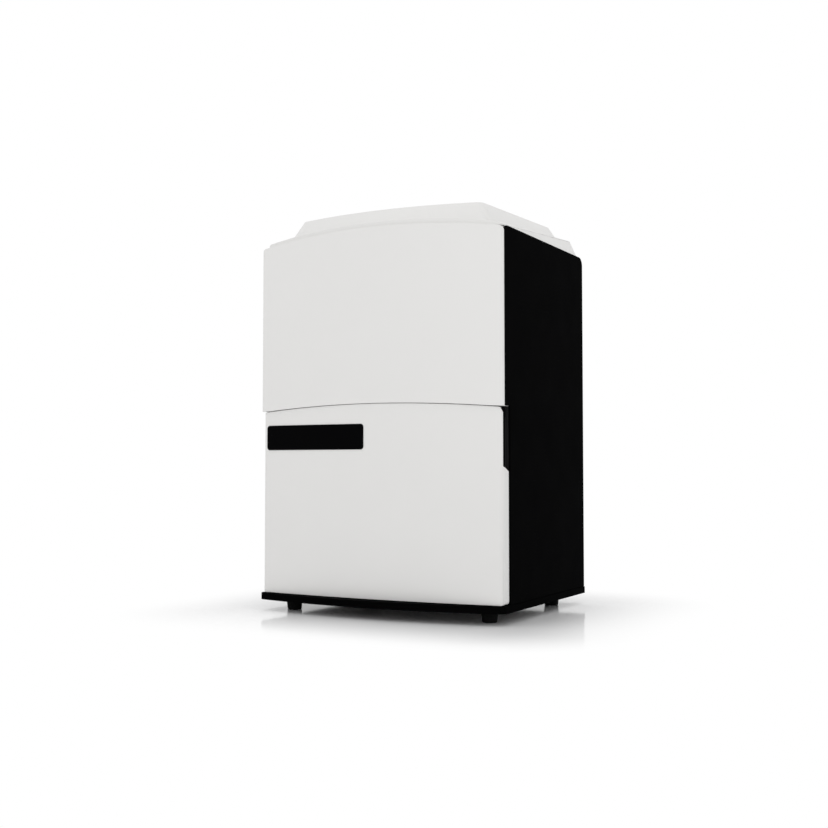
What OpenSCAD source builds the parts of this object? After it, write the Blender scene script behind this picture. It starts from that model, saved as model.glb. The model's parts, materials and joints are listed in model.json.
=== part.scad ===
// Bench-top gel documentation cabinet: a light-tight chamber behind a bowed swing door, with a
// transilluminator on its floor and a camera, zoom lens and filter wheel above its ceiling.
// X is the width, Y runs to the rear, Z is up, and the bench is at Z = 0.

/* [Cabinet] */
// Width across the side panels
cabinet_w = 340; // [336:1:344]
// Front-to-rear length of a side panel
side_d = 264; // [262:1:266]
// How far the plinth stands in front of the side panels at its middle
plinth_bow = 20; // [12:1:22]
// Top edge of the side panels above the bench
side_top = 466.8; // [464:0.4:468]
// Thickness of a side panel
side_t = 2.5; // [2:0.1:2.8]
// Radius of the side panels' upper corners
side_corner_r = 11; // [6:1:14]

/* [Front] */
// Forward bow of the door at its middle
door_bow = 10; // [6:1:11]
// Underside of the door above the bench
door_bottom = 23.3; // [23.3:0.1:24]
// Ends of the seam between the door and the upper front panel
seam_z = 253; // [251:0.5:255]
// Rise of that seam from its ends to its middle
seam_arch = 7.5; // [4:0.5:9]
// Rise of the upper front panel's top edge from its ends to its middle
top_arch = 13; // [8:1:14]
// Wall of the moulded front parts
shell_t = 3; // [2.6:0.1:3]
// Width of the label plate
label_w = 148.8; // [140:0.2:149]
// Height of the label plate
label_h = 31.4; // [26:0.2:34]

/* [Top cover] */
// Height of the raised middle of the cover at its front
crown_z = 502.5; // [500:0.5:504]
// Half width of the raised middle at the front
crown_front_half = 129; // [124:1:132]
// Half width of the raised middle at the rear
crown_rear_half = 138; // [134:1:141]

/* [Base] */
// Height of the rubber feet below the plinth
foot_h = 14; // [12:0.5:14]
// Distance between the feet across the cabinet
foot_pitch_x = 276; // [268:2:280]
// Distance between the feet from front to rear
foot_pitch_y = 198; // [190:2:202]

/* [Chamber] */
// Half width of the dark chamber
chamber_half = 150; // [149:0.5:150]
// Ceiling height of the dark chamber
deck_z = 296; // [294:1:298]
// Clear width of the door opening
opening_w = 292; // [288:1:292]
// Width of the light table's window
window_w = 200; // [190:2:200]
// Depth of the light table's window
window_d = 180; // [170:2:180]
// Number of ultraviolet tubes
tube_count = 6; // [4:1:6]

/* [Optics] */
// Distance of the optical axis behind the cabinet's middle
optic_y = 11; // [10:1:12]
// Radius from the filter wheel's shaft to each filter
filter_pitch_r = 40; // [40:0.5:41]
// Number of filters in the wheel
filter_count = 5; // [3:1:5]
// Radius of the lens's fixed core
core_r = 15; // [14.5:0.5:15]
// Running clearance of rings and shafts, on the radius
run_gap = 0.05; // [0.03:0.01:0.08]

/* [Rear] */
// Side of the cooling fan's square frame
fan_size = 60; // [58:1:60]
// Blades on the cooling fan
blade_count = 7; // [5:1:9]
// Height of the fan's axis
fan_z = 400; // [395:1:405]

/* [Hidden] */
$fn = 64;

eps = 0.01;
half_w = cabinet_w / 2;
front_reach = plinth_bow + 5;
rear_reach = 5;
total_d = side_d + front_reach + rear_reach;
front_y = -total_d / 2 + front_reach;
back_y = front_y + side_d;
side_front_low = front_y + 16;
plinth_top = foot_h + 8.7;
pan_t = 3;
foot_top = plinth_top - pan_t;
foot_mid_y = (front_y + back_y) / 2 - 6;

bulk_y = front_y + 17;
bulk_t = 2;
sheet_t = 1.5;
chamber_back = back_y - 24;
deck_t = 2;
opening_low = 36;
opening_high = 242;

door_half = half_w - 1.5;
door_front = front_y - 1;
door_back = bulk_y - 2.2;
liner_back = bulk_y - 4;
corner_r = 6;
hinge_x = -door_half + corner_r;
hinge_y = door_front + corner_r;
pin_r = 2;
bush_r = 3.2;
grip_low = 184;
grip_depth = 21;
notch_w = 4.6;
notch_h = 8;
panel_gap = 1.2;
panel_front = front_y - 3.5;
panel_bow = 9;
tongue_half = half_w - side_t - 0.3;

label_x = -87.6;
label_z = 220.4;
label_r = 4;

table_half = 128;
table_front = bulk_y + 13;
table_back = chamber_back - 4;
table_floor = 30;
glass_z = 80;
frame_low = 84;
frame_top = 90;
tube_r = 7.75;
tube_z = 62;
tube_half = 106;
tube_pitch = window_d / tube_count - 1;

shaft_r = 3;
wheel_y = optic_y + filter_pitch_r;
wheel_z = 302;
wheel_t = 6;
wheel_r = filter_pitch_r + 16;
filter_r = 12.5;
bridge_z = 316;
bridge_t = 3;
column_y = wheel_y + 21;
camera_low = 405;
camera_size = 50;
camera_h = 66;
ring_play = 0.3;

lamp_x = 118;
lamp_tilt = 35;
lamp_len = 150;
lamp_z = 276;

fan_x = -95;
fan_depth = 20;
duct_r = 23.5;
inlet_x = 105;
inlet_z = 350;
rear_panel_t = 1.5;
rear_y = back_y + rear_panel_t;

// Depth of a shallow bow, or rise of a shallow arch, at x, on a chord of the given half width
function bow(x, half, depth) = depth * (1 - pow(x / half, 2));

// Plan outline of a bowed front with rounded ends, from the left side round to the right
function front_curve(half, y_end, depth, r, steps = 24) =
    let (lean = atan(2 * depth / half), x1 = half - r + r * sin(lean), y1 = y_end + r - r * cos(lean),
        rise = depth + y1 - y_end)
    concat(
        [for (i = [0:6]) let (a = 180 + (90 - lean) * i / 6)
            [-half + r + r * cos(a), y_end + r + r * sin(a)]],
        [for (i = [1:steps - 1]) let (x = -x1 + 2 * x1 * i / steps) [x, y1 - bow(x, x1, rise)]],
        [for (i = [0:6]) let (a = 270 + lean + (90 - lean) * i / 6)
            [half - r + r * cos(a), y_end + r + r * sin(a)]]);

// Points along an arched edge from left to right
function arch_line(half, z_end, rise, steps = 20) =
    [for (i = [0:steps]) let (x = -half + 2 * half * i / steps) [x, z_end + bow(x, half, rise)]];

function reversed(list) = [for (i = [len(list) - 1:-1:0]) list[i]];

// A quarter arc of points round a corner centre
function arc(cx, cy, r, from, to, steps = 6) =
    [for (i = [0:steps]) let (a = from + (to - from) * i / steps) [cx + r * cos(a), cy + r * sin(a)]];

// Extrudes an outline drawn in X and Z through the whole depth in front of the rear panel
module along_depth(from, to) {
    translate([0, to, 0]) rotate([90, 0, 0]) linear_extrude(to - from) children();
}

// Extrudes an outline drawn in Y and Z from one x to another
module along_width(from, to) {
    translate([from, 0, 0]) rotate([90, 0, 90]) linear_extrude(to - from) children();
}

// A block from its lowest corner to its highest
module block(low, high) {
    translate(low) cube(high - low);
}

// A mirrored pair about the middle of the cabinet
module both_sides() {
    children();
    mirror([1, 0, 0]) children();
}

// A pan head screw, its shank along -Z from the head's underside
module pan_screw(shank_r, length, head_r, head_h) {
    translate([0, 0, -length]) cylinder(r = shank_r, h = length);
    difference() {
        cylinder(r1 = head_r, r2 = head_r * 0.8, h = head_h);
        for (turn = [0, 90]) rotate(turn)
            translate([-head_r * 0.5, -head_r * 0.1, head_h * 0.45]) cube([head_r, head_r * 0.2, head_h]);
    }
}

// ---- Base ----

module pan_outline(inset) {
    polygon(concat(front_curve(half_w + 1 - inset, front_y - 5 + inset, plinth_bow, 7 - inset),
        [[half_w + 1 - inset, back_y - inset], [-half_w - 1 + inset, back_y - inset]]));
}

module base_pan() {
    color("#151515") difference() {
        union() {
            difference() {
                translate([0, 0, foot_h]) linear_extrude(plinth_top - foot_h) pan_outline(0);
                translate([0, 0, foot_h - 1]) linear_extrude(foot_top - foot_h + 1) pan_outline(3);
            }
            translate([hinge_x, hinge_y, foot_h + 1]) cylinder(r = 6.2, h = 6);
        }
        for (x = [-1, 1], y = [-1, 1])
            translate([x * foot_pitch_x / 2, foot_mid_y + y * foot_pitch_y / 2, 0]) cylinder(r = 2.1, h = 40);
        translate([hinge_x, hinge_y, 0]) cylinder(r = bush_r, h = 40);
        for (i = [-4:4]) block([i * 24 - 8, chamber_back + 6, foot_h - 1], [i * 24 + 8, chamber_back + 11, 30]);
    }
}

module rubber_feet() {
    color("#1c1c1c") for (x = [-1, 1], y = [-1, 1])
        translate([x * foot_pitch_x / 2, foot_mid_y + y * foot_pitch_y / 2, 0])
            rotate_extrude() polygon([[5, 0], [8.2, 0], [9, 0.8], [11, foot_top], [2.2, foot_top], [2.2, 8], [5, 8]]);
}

module foot_screws() {
    color("silver") for (x = [-1, 1], y = [-1, 1])
        translate([x * foot_pitch_x / 2, foot_mid_y + y * foot_pitch_y / 2, 8])
            mirror([0, 0, 1]) pan_screw(2, plinth_top + 1.5 - 8, 4.2, 2.4);
}

// ---- Sheet-metal casing ----

// Side view of a side panel, pulled in all round by the given amount
module side_outline(inset) {
    low_front = side_front_low + inset;
    r = side_corner_r - inset;
    polygon(concat(
        [[low_front, plinth_top + inset], [back_y - inset, plinth_top + inset]],
        arc(back_y - side_corner_r, side_top - side_corner_r, r, 0, 90),
        arc(front_y + side_corner_r, side_top - side_corner_r, r, 90, 180),
        [[front_y + inset, seam_z + 2 + inset], [low_front, seam_z + 2 + inset]]));
}

// A side panel seen from its own side, with a folded lip along its top, rear and bottom edges
module side_panel() {
    lip = 14;
    along_width(half_w - side_t, half_w) side_outline(0);
    difference() {
        along_width(half_w - side_t - lip, half_w - side_t) difference() {
            side_outline(0);
            side_outline(2);
        }
        block([0, front_y - 10, 0], [half_w, bulk_y + bulk_t + 0.3, side_top + 10]);
        block([0, 0, plinth_top - 1], [chamber_half + sheet_t + 0.3, back_y - 3, plinth_top + 4]);
        for (p = screw_xz) if (p[0] > 0)
            translate([p[0], back_y - 5, p[1]]) rotate([-90, 0, 0]) cylinder(r = casing_screw_r, h = 8);
    }
}

module right_side_panel() {
    color("#101010") side_panel();
}

module left_side_panel() {
    color("#101010") mirror([1, 0, 0]) side_panel();
}

casing_screw_r = 1.5;
screw_xz = [for (x = [-1, 1], z = [40, 170, 300, 440]) [x * 160, z]];

module rear_panel() {
    color("#161616") difference() {
        union() {
            block([-half_w + 2, back_y, plinth_top + 0.8], [half_w - 2, rear_y, side_top - side_corner_r]);
            block([-152, back_y, 300], [152, rear_y, side_top - 0.4]);
            block([-152, back_y - 9.2, side_top - 1.9], [152, rear_y, side_top - 0.4]);
        }
        for (p = screw_xz) translate([p[0], back_y - 1, p[1]]) rotate([-90, 0, 0]) cylinder(r = 1.8, h = 5);
        translate([fan_x, back_y - 1, fan_z]) rotate([-90, 0, 0]) cylinder(r = duct_r, h = 5);
        for (x = [-1, 1], z = [-1, 1]) translate([fan_x + x * 25, back_y - 1, fan_z + z * 25])
            rotate([-90, 0, 0]) cylinder(r = 1.8, h = 5);
        block([inlet_x - 23.5, back_y - 1, inlet_z - 38.5], [inlet_x + 23.5, rear_y + 1, inlet_z + 30.5]);
        block([38.6, back_y - 1, inlet_z - 6.4], [51.4, rear_y + 1, inlet_z + 6.4]);
        for (i = [0:9]) block([-130, back_y - 1, 60 + i * 9], [-60, rear_y + 1, 63.5 + i * 9]);
        for (i = [0:9]) block([60, back_y - 1, 60 + i * 9], [130, rear_y + 1, 63.5 + i * 9]);
    }
}

module rear_panel_screws() {
    color("#303030") {
        for (p = screw_xz) translate([p[0], rear_y, p[1]]) rotate([-90, 0, 0]) pan_screw(casing_screw_r, 3.2, 3.2, 1.8);
        for (x = [-1, 1], z = [-1, 1]) translate([fan_x + x * 25, rear_y + 1.6, fan_z + z * 25])
            rotate([-90, 0, 0]) pan_screw(1.7, 8, 3.2, 1.8);
    }
}

// ---- Top cover ----

// The cover's stepped form: a skirt and shelf that arch across the front and flatten to the rear,
// with a sloped-sided crown on top. inset pulls every face in to give the inside of the moulding.
module cover_form(inset) {
    shelf_end = side_top + 3.5 - inset;
    foot_half = half_w - 4 - inset;
    skirt = 464 - inset * 3;
    shelf_front = front_y + 1 + inset;
    intersection() {
        hull() {
            along_depth(front_y - 20, front_y - 19)
                polygon(concat(reversed(arch_line(foot_half - 6, shelf_end, top_arch, 16)),
                    [[-foot_half, side_top - inset], [-foot_half, skirt], [foot_half, skirt],
                        [foot_half, side_top - inset]]));
            along_depth(back_y - 14 - inset, back_y - 13 - inset)
                polygon([[-foot_half, side_top - inset], [-foot_half, skirt], [foot_half, skirt],
                    [foot_half, side_top - inset], [foot_half - 9, 489 - inset], [-foot_half + 9, 489 - inset]]);
            along_depth(back_y - 11 - inset, back_y - 9.5 - inset)
                polygon([[-foot_half, side_top - inset], [-foot_half, skirt], [foot_half, skirt],
                    [foot_half, side_top - inset]]);
        }
        translate([0, 0, 400]) linear_extrude(120)
            polygon(concat(front_curve(foot_half, shelf_front, panel_bow + 1, 8), [[foot_half, back_y], [-foot_half, back_y]]));
    }
    hull() {
        translate([0, 0, crown_z - inset - 0.5]) linear_extrude(0.5)
            polygon(concat(front_curve(crown_front_half - inset, front_y + 29 + inset, 19, 12),
                [[crown_rear_half - inset, back_y - 40 - inset], [-crown_rear_half + inset, back_y - 40 - inset]]));
        translate([0, 0, side_top + 8 - inset]) linear_extrude(1)
            polygon(concat(front_curve(crown_front_half + 20 - inset, front_y + 16 + inset, 22, 14),
                [[crown_rear_half + 14 - inset, back_y - 22 - inset], [-crown_rear_half - 14 + inset, back_y - 22 - inset]]));
        translate([0, back_y - 46 - inset, crown_z + 2 - inset]) block([-crown_rear_half + inset, 0, -0.5], [crown_rear_half - inset, 1, 0]);
    }
}

// The lower end of the cover stops on the side panels' top edges and on the upper front panel
module cover_seat() {
    block([-half_w - 5, front_y - 30, 400], [half_w + 5, bulk_y - 0.2, side_top - 40]);
    along_depth(front_y - 30, bulk_y + 0.2)
        polygon(concat(reversed(arch_line(half_w, side_top - 2 + 0.4, top_arch)),
            [[-half_w - 5, side_top - 2], [-half_w - 5, 400], [half_w + 5, 400], [half_w + 5, side_top - 2]]));
    block([-half_w - 5, front_y - 30, 400], [-tongue_half + 14.4, back_y + 10, side_top + 0.05]);
    block([tongue_half - 14.4, front_y - 30, 400], [half_w + 5, back_y + 10, side_top + 0.05]);
    block([-half_w, bulk_y - 1, 400], [half_w, back_y + 10, side_top + 0.05]);
}

module top_cover() {
    color("#e2e1df") difference() {
        cover_form(0);
        cover_form(shell_t);
        cover_seat();
    }
}

// ---- Upper front panel ----

// Front view of the upper front panel, pulled in by the given amount
module panel_face(inset, half) {
    polygon(concat(arch_line(half - inset, seam_z + panel_gap + inset, seam_arch),
        reversed(arch_line(half - inset, side_top - 2 - inset, top_arch))));
}

module upper_front_panel() {
    color("#e2e1df") difference() {
        intersection() {
            linear_extrude(520) polygon(concat(front_curve(half_w, panel_front, panel_bow, 3.4),
                [[half_w, front_y], [tongue_half, front_y], [tongue_half, bulk_y],
                    [-tongue_half, bulk_y], [-tongue_half, front_y], [-half_w, front_y]]));
            along_depth(front_y - 40, bulk_y + 5) panel_face(0, half_w + eps);
        }
        intersection() {
            linear_extrude(520) polygon(concat(
                front_curve(tongue_half - shell_t, panel_front + shell_t, panel_bow, 3),
                [[tongue_half - shell_t, bulk_y + 5], [-tongue_half + shell_t, bulk_y + 5]]));
            along_depth(front_y - 40, bulk_y + 10) panel_face(shell_t, half_w);
        }
        translate([hinge_x, hinge_y, seam_z - 5]) cylinder(r = bush_r + 0.2, h = 15);
        block([-tongue_half - 0.4, front_y - 0.2, seam_z + 7.6], [-tongue_half + shell_t + 1.6, bulk_y + 1, seam_z + 14]);
    }
}

// ---- Chamber ----

module front_bulkhead() {
    color("#1a1a1a") difference() {
        union() {
            along_depth(bulk_y, bulk_y + bulk_t) difference() {
                polygon([[-tongue_half, plinth_top], [tongue_half, plinth_top], [tongue_half, side_top - 3],
                    [-tongue_half, side_top - 3]]);
                translate([-opening_w / 2 + 6, opening_low + 6]) offset_rect(opening_w - 12, opening_high - opening_low - 12, 6);
                translate([-100, deck_z + 40]) square([200, 90]);
            }
        }
        block([154, bulk_y - 1, 120], [166, bulk_y + bulk_t + 1, 140]);
        for (z = catch_heights) block([156.8, bulk_y - 1, z - 9], [164.2, bulk_y + bulk_t + 1, z + 9]);
    }
}

// A rectangle that grows by r on every side, with rounded corners drawn as arcs
module offset_rect(w, h, r) {
    polygon(concat(arc(w, h, r, 0, 90), arc(0, h, r, 90, 180), arc(0, 0, r, 180, 270), arc(w, 0, r, 270, 360)));
}

// Two side walls and a rear wall folded from one sheet, with a flange under the ceiling
module chamber_liner() {
    color("#141414") difference() {
        block([-chamber_half - sheet_t, bulk_y + bulk_t, plinth_top], [chamber_half + sheet_t, chamber_back + sheet_t, deck_z]);
        block([-chamber_half, bulk_y, plinth_top - 1], [chamber_half, chamber_back, deck_z + 1]);
    }
}

module chamber_floor() {
    color("#1a1a1a") difference() {
        block([-chamber_half, bulk_y + bulk_t, plinth_top], [chamber_half, chamber_back, 30]);
        block([-chamber_half + 2, bulk_y + bulk_t - 1, plinth_top - 1], [chamber_half - 2, chamber_back - 2, 28]);
    }
}

module camera_deck() {
    color("#1a1a1a") difference() {
        union() {
            block([-half_w + side_t + 0.4, bulk_y + bulk_t, deck_z], [half_w - side_t - 0.4, back_y - 2.5, deck_z + deck_t]);
            translate([0, wheel_y, deck_z - 4]) cylinder(r = 8, h = 4 + deck_t);
        }
        translate([0, optic_y, deck_z - 5]) cylinder(r = 18, h = 10);
        translate([0, wheel_y, deck_z - 5]) cylinder(r = shaft_r + run_gap, h = 10);
        block([-60, back_y - 18, deck_z - 1], [60, back_y - 8, deck_z + 5]);
    }
}

// ---- Door ----

catch_heights = [60, 160];

// Front view of the door; the upper right corner is cut off over the grip
module door_face(inset, notch) {
    half = door_half - inset;
    top = arch_line(half, seam_z - inset, seam_arch);
    polygon(concat([[-half, door_bottom + inset], [half, door_bottom + inset], [half, seam_z - inset - notch * notch_h],
        [half - notch * notch_w, seam_z - inset + 0.3]], [for (p = reversed(top)) if (p[0] < half - notch_w) p]));
}

module door_shell() {
    color("#e2e1df") difference() {
        union() {
            difference() {
                intersection() {
                    linear_extrude(400) polygon(concat(front_curve(door_half, door_front, door_bow, corner_r),
                        [[door_half, door_back], [-door_half, door_back]]));
                    along_depth(front_y - 40, bulk_y) door_face(0, 1);
                }
                intersection() {
                    linear_extrude(400) polygon(concat(
                        front_curve(door_half - shell_t, door_front + shell_t, door_bow, corner_r - shell_t),
                        [[door_half - shell_t, bulk_y + 5], [-door_half + shell_t, bulk_y + 5]]));
                    along_depth(front_y - 40, bulk_y + 10) door_face(shell_t, 1);
                }
            }
            for (z = [door_bottom + 1, seam_z - 21]) translate([hinge_x, hinge_y, z]) cylinder(r = 5.4, h = 20);
            for (x = [-75, 0, 75]) block([x - 1, door_front + 1 - bow(x, door_half, door_bow), door_bottom + 1],
                [x + 1, liner_back - sheet_t, seam_z - 1]);
            for (z = [90, 160]) intersection() {
                block([-door_half + 1, front_y - 20, z - 1], [door_half - 1, liner_back - sheet_t, z + 1]);
                linear_extrude(400) polygon(concat(
                    front_curve(door_half - 1, door_front + 1, door_bow, corner_r - 1),
                    [[door_half - 1, bulk_y], [-door_half + 1, bulk_y]]));
            }
        }
        for (z = [door_bottom - 5, seam_z - 14]) translate([hinge_x, hinge_y, z]) cylinder(r = pin_r, h = 25);
        along_width(door_half - shell_t - 1.5, door_half + 1) polygon([
            [door_front + shell_t - 0.4, grip_low], [bulk_y + 1, grip_low - 7],
            [bulk_y + 1, seam_z + 5], [door_front + shell_t - 0.4, seam_z + 5]]);
    }
}

module door_liner() {
    color("#1a1a1a") difference() {
        along_depth(liner_back - sheet_t, liner_back) polygon([
            [-door_half + shell_t + 0.3, door_bottom + shell_t + 0.3],
            [door_half - shell_t - 0.3, door_bottom + shell_t + 0.3],
            [door_half - shell_t - 0.3, seam_z - shell_t - 9], [door_half - shell_t - 6, seam_z - shell_t - 0.3],
            [-door_half + shell_t + 0.3, seam_z - shell_t - 0.3]]);
        block([155, liner_back - 3, 119], [165, liner_back + 1, 141]);
        for (z = [door_bottom + 1, seam_z - 21]) translate([hinge_x, hinge_y, z - 1]) cylinder(r = 5.8, h = 23);
    }
}

module door_gasket() {
    color("#0c0c0c") along_depth(liner_back, bulk_y - 0.3) difference() {
        translate([-opening_w / 2 - 3, opening_low - 3]) offset_rect(opening_w + 6, opening_high - opening_low + 2, 5);
        translate([-opening_w / 2 - 1, opening_low - 1]) offset_rect(opening_w + 2, opening_high - opening_low - 2, 1);
    }
}

module label_plate() {
    depth = 0.8;
    color("#050505") intersection() {
        difference() {
            linear_extrude(400) polygon(concat(
                front_curve(door_half + depth, door_front - depth, door_bow, corner_r + depth),
                [[door_half, bulk_y], [-door_half, bulk_y]]));
            linear_extrude(400) polygon(concat(front_curve(door_half, door_front, door_bow, corner_r),
                [[door_half, bulk_y + 1], [-door_half, bulk_y + 1]]));
        }
        along_depth(front_y - 40, front_y + 20) translate([label_x - label_w / 2 + label_r, label_z - label_h / 2 + label_r])
            offset_rect(label_w - 2 * label_r, label_h - 2 * label_r, label_r);
    }
}

// Moulded finger recess behind the door's free edge, open to the side
module grip_cup() {
    front = door_front + shell_t - 0.1;
    rear = liner_back - sheet_t - 0.1;
    right = door_half - shell_t - 0.2;
    color("#0e0e0e") difference() {
        block([right - grip_depth, front, grip_low - 6], [right, rear, seam_z - shell_t - 0.5]);
        block([right - grip_depth + 1.4, front - 1, grip_low - 1], [right + 1, rear - 1.4, seam_z - shell_t - 2]);
        block([right - 8, front - 1, seam_z - notch_h - 4], [right + 1, rear + 1, seam_z + 5]);
        block([right - 4, front - 1, 0], [right + 1, front + 2.4, grip_low + 0.4]);
    }
}

module hinge_pins() {
    color("silver") {
        translate([hinge_x, hinge_y, foot_h + 3.5]) cylinder(r = pin_r, h = door_bottom + 20 - foot_h - 3.5);
        translate([hinge_x, hinge_y, seam_z - 14]) cylinder(r = pin_r, h = 24);
    }
}

module hinge_bushes() {
    color("#d8d8d0") {
        translate([hinge_x, hinge_y, foot_h + 1]) difference() {
            cylinder(r = bush_r, h = plinth_top - foot_h - 1);
            translate([0, 0, -1]) cylinder(r = pin_r + run_gap, h = 20);
        }
        translate([hinge_x, hinge_y, seam_z + 2]) difference() {
            union() {
                cylinder(r = bush_r, h = 9);
                translate([0, 0, 9]) cylinder(r = 4.2, h = 1.5);
            }
            translate([0, 0, -1]) cylinder(r = pin_r + run_gap, h = 20);
        }
    }
}

// Steel angle that carries the upper hinge bush, fixed to the bulkhead behind the upper front panel
module hinge_bracket() {
    color("silver") difference() {
        union() {
            block([-tongue_half, front_y + 0.1, seam_z + 8], [-138, bulk_y, seam_z + 11]);
            block([-tongue_half + shell_t + 0.6, bulk_y - 2, seam_z + 8], [-138, bulk_y, seam_z + 32]);
        }
        translate([hinge_x, hinge_y, seam_z]) cylinder(r = bush_r, h = 20);
        for (z = [17, 26]) translate([-150, bulk_y - 5, seam_z + z]) rotate([-90, 0, 0]) cylinder(r = 2.2, h = 10);
    }
}

module catch_magnets() {
    for (z = catch_heights) {
        color("#202020") block([157, bulk_y - 2.4, z - 8.8], [164, bulk_y + 8, z + 8.8]);
    }
}

module strike_plates() {
    color("silver") for (z = catch_heights) block([156, liner_back, z - 11], [164.8, liner_back + 1, z + 11]);
}

module interlock_sensor() {
    color("#e8e8e0") block([154.3, bulk_y - 0.5, 120.3], [165.7, bulk_y + 9, 139.7]);
}

module interlock_magnet() {
    color("#b0b0b0") block([155.3, liner_back - 5, 119.3], [164.7, liner_back + 0.4, 140.7]);
}

// ---- Camera, lens and filters ----

module optics_bridge() {
    reach = wheel_r + 8;
    color("#555a60") difference() {
        union() {
            block([-reach - 3, optic_y - 30, bridge_z], [reach + 3, column_y + 3, bridge_z + bridge_t]);
            for (x = [-reach - 3, reach]) block([x, optic_y - 30, deck_z + deck_t], [x + 3, column_y + 3, bridge_z + bridge_t]);
            both_sides() block([reach + 3, optic_y - 30, deck_z + deck_t], [reach + 14, column_y + 3, deck_z + deck_t + 2]);
        }
        translate([0, optic_y, bridge_z - 1]) cylinder(r = 17, h = 8);
        translate([0, wheel_y, bridge_z - 1]) cylinder(r = 5, h = 8);
        both_sides() for (y = [optic_y - 20, column_y - 8]) translate([reach + 9, y, deck_z]) cylinder(r = 2.2, h = 8);
    }
}

module camera_bracket() {
    top = camera_low + camera_h;
    color("#555a60") difference() {
        union() {
            block([-30, column_y, bridge_z + bridge_t], [30, column_y + 3, top + 3]);
            block([-30, optic_y - 24, top], [30, column_y + 3, top + 3]);
            for (x = [-30, 28]) along_width(x, x + 2) polygon([[column_y + eps, top + eps], [column_y + eps, top - 34], [optic_y + 28, top + eps]]);
        }
        for (x = [-1, 1], y = [-1, 1]) translate([x * 15, optic_y + y * 15, top - 1]) cylinder(r = 2.2, h = 6);
        block([-12, column_y - 1, 350], [12, column_y + 5, 385]);
    }
}

// Finned aluminium camera head with a round lens mount underneath
module camera_body() {
    half = camera_size / 2;
    color("#30343a") difference() {
        union() {
            block([-half, optic_y - half, camera_low + 5], [half, optic_y + half, camera_low + camera_h]);
            translate([0, optic_y, camera_low]) cylinder(r = 16, h = 6);
        }
        for (i = [0:5], side = [0, 180]) translate([0, optic_y, 0]) rotate(side)
            block([-half - 1, -half - 1, camera_low + 30 + i * 5], [half + 1, -half + 3, camera_low + 32.5 + i * 5]);
        translate([0, optic_y, camera_low - 1]) cylinder(r = 11, h = 4);
    }
}

// Rings of the lens, lowest to highest: name order is focus, zoom, iris
focus_z = 330;
focus_h = 22;
zoom_z = 361;
zoom_h = 20;
iris_z = 389;
iris_h = 8;

// Fixed core and collars of the zoom lens; the three rings turn in its grooves
module lens_barrel() {
    color("#20242a") translate([0, optic_y, 0]) rotate_extrude() polygon([
        [12, 322], [19, 322], [19, focus_z - ring_play], [core_r, focus_z - ring_play],
        [core_r, focus_z + focus_h + ring_play], [18.4, focus_z + focus_h + ring_play],
        [18.4, zoom_z - ring_play], [core_r, zoom_z - ring_play], [core_r, zoom_z + zoom_h + ring_play],
        [18, zoom_z + zoom_h + ring_play], [18, iris_z - ring_play], [core_r, iris_z - ring_play],
        [core_r, iris_z + iris_h + ring_play], [17, iris_z + iris_h + ring_play], [17, camera_low],
        [10, camera_low], [10, 340], [12, 330]]);
}

module front_lens() {
    color("#38506c") translate([0, optic_y, 0]) rotate_extrude() polygon(concat(
        [[0, 328], [12, 328], [12, 325]], [for (i = [0:5]) [12 - 2.4 * i, 325 - 1.8 * (1 - pow(1 - i / 5, 2))]]));
}

// A grip ring with scallops cut round it; it turns on the lens's core
module grip_ring(low, height, outer_r, scallops) {
    translate([0, optic_y, low]) difference() {
        cylinder(r = outer_r, h = height);
        translate([0, 0, -1]) cylinder(r = core_r + run_gap, h = height + 2);
        for (i = [0:scallops - 1]) rotate(360 * i / scallops) translate([outer_r + 0.6, 0, height * 0.2])
            cylinder(r = 1.2, h = height * 0.6, $fn = 24);
    }
}

module focus_ring() {
    color("#2a2a2a") grip_ring(focus_z, focus_h, 20, 24);
}

module zoom_ring() {
    color("#2a2a2a") grip_ring(zoom_z, zoom_h, 19.6, 24);
}

module iris_ring() {
    color("#2a2a2a") grip_ring(iris_z, iris_h, 19, 18);
}

// Places children at each filter position round the wheel; the first is under the lens
module at_filters() {
    for (i = [0:filter_count - 1]) translate([0, wheel_y, 0]) rotate(360 * i / filter_count)
        translate([0, -filter_pitch_r, 0]) children();
}

module filter_wheel() {
    color("#383838") difference() {
        union() {
            translate([0, wheel_y, wheel_z]) cylinder(r = wheel_r, h = wheel_t, $fn = 96);
            translate([0, wheel_y, wheel_z]) cylinder(r = 9, h = wheel_t + 4);
        }
        translate([0, wheel_y, wheel_z - 1]) cylinder(r = shaft_r, h = 20);
        at_filters() translate([0, 0, wheel_z - 1]) cylinder(r = filter_r - 1.5, h = wheel_t + 2);
        at_filters() translate([0, 0, wheel_z + 2]) cylinder(r = filter_r, h = wheel_t);
        for (i = [0:filter_count - 1]) translate([0, wheel_y, wheel_z - 1])
            rotate(360 * (i + 0.5) / filter_count) translate([0, -filter_pitch_r, 0]) cylinder(r = 8, h = wheel_t + 2);
    }
}

module emission_filters() {
    color("#c86020") at_filters() translate([0, 0, wheel_z + 2]) cylinder(r = filter_r, h = 3);
}

module wheel_shaft() {
    color("silver") translate([0, wheel_y, deck_z - 6]) cylinder(r = shaft_r, h = bridge_z + bridge_t + 4 - deck_z + 6);
}

module wheel_motor() {
    color("#404448") difference() {
        union() {
            translate([0, wheel_y, bridge_z + bridge_t]) cylinder(r = 14, h = 24);
            block([-21, wheel_y - 4, bridge_z + bridge_t], [21, wheel_y + 4, bridge_z + bridge_t + 1.5]);
        }
        translate([0, wheel_y, bridge_z]) cylinder(r = shaft_r + run_gap, h = 12);
        for (x = [-17.5, 17.5]) translate([x, wheel_y, bridge_z]) cylinder(r = 1.7, h = 8);
    }
}

// ---- White lamps under the chamber's ceiling ----

// Places children in one lamp's own frame, on both sides, with +Z facing the table
module at_lamps() {
    both_sides() translate([lamp_x, optic_y, lamp_z]) rotate([0, 180 + lamp_tilt, 0]) children();
}

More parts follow.
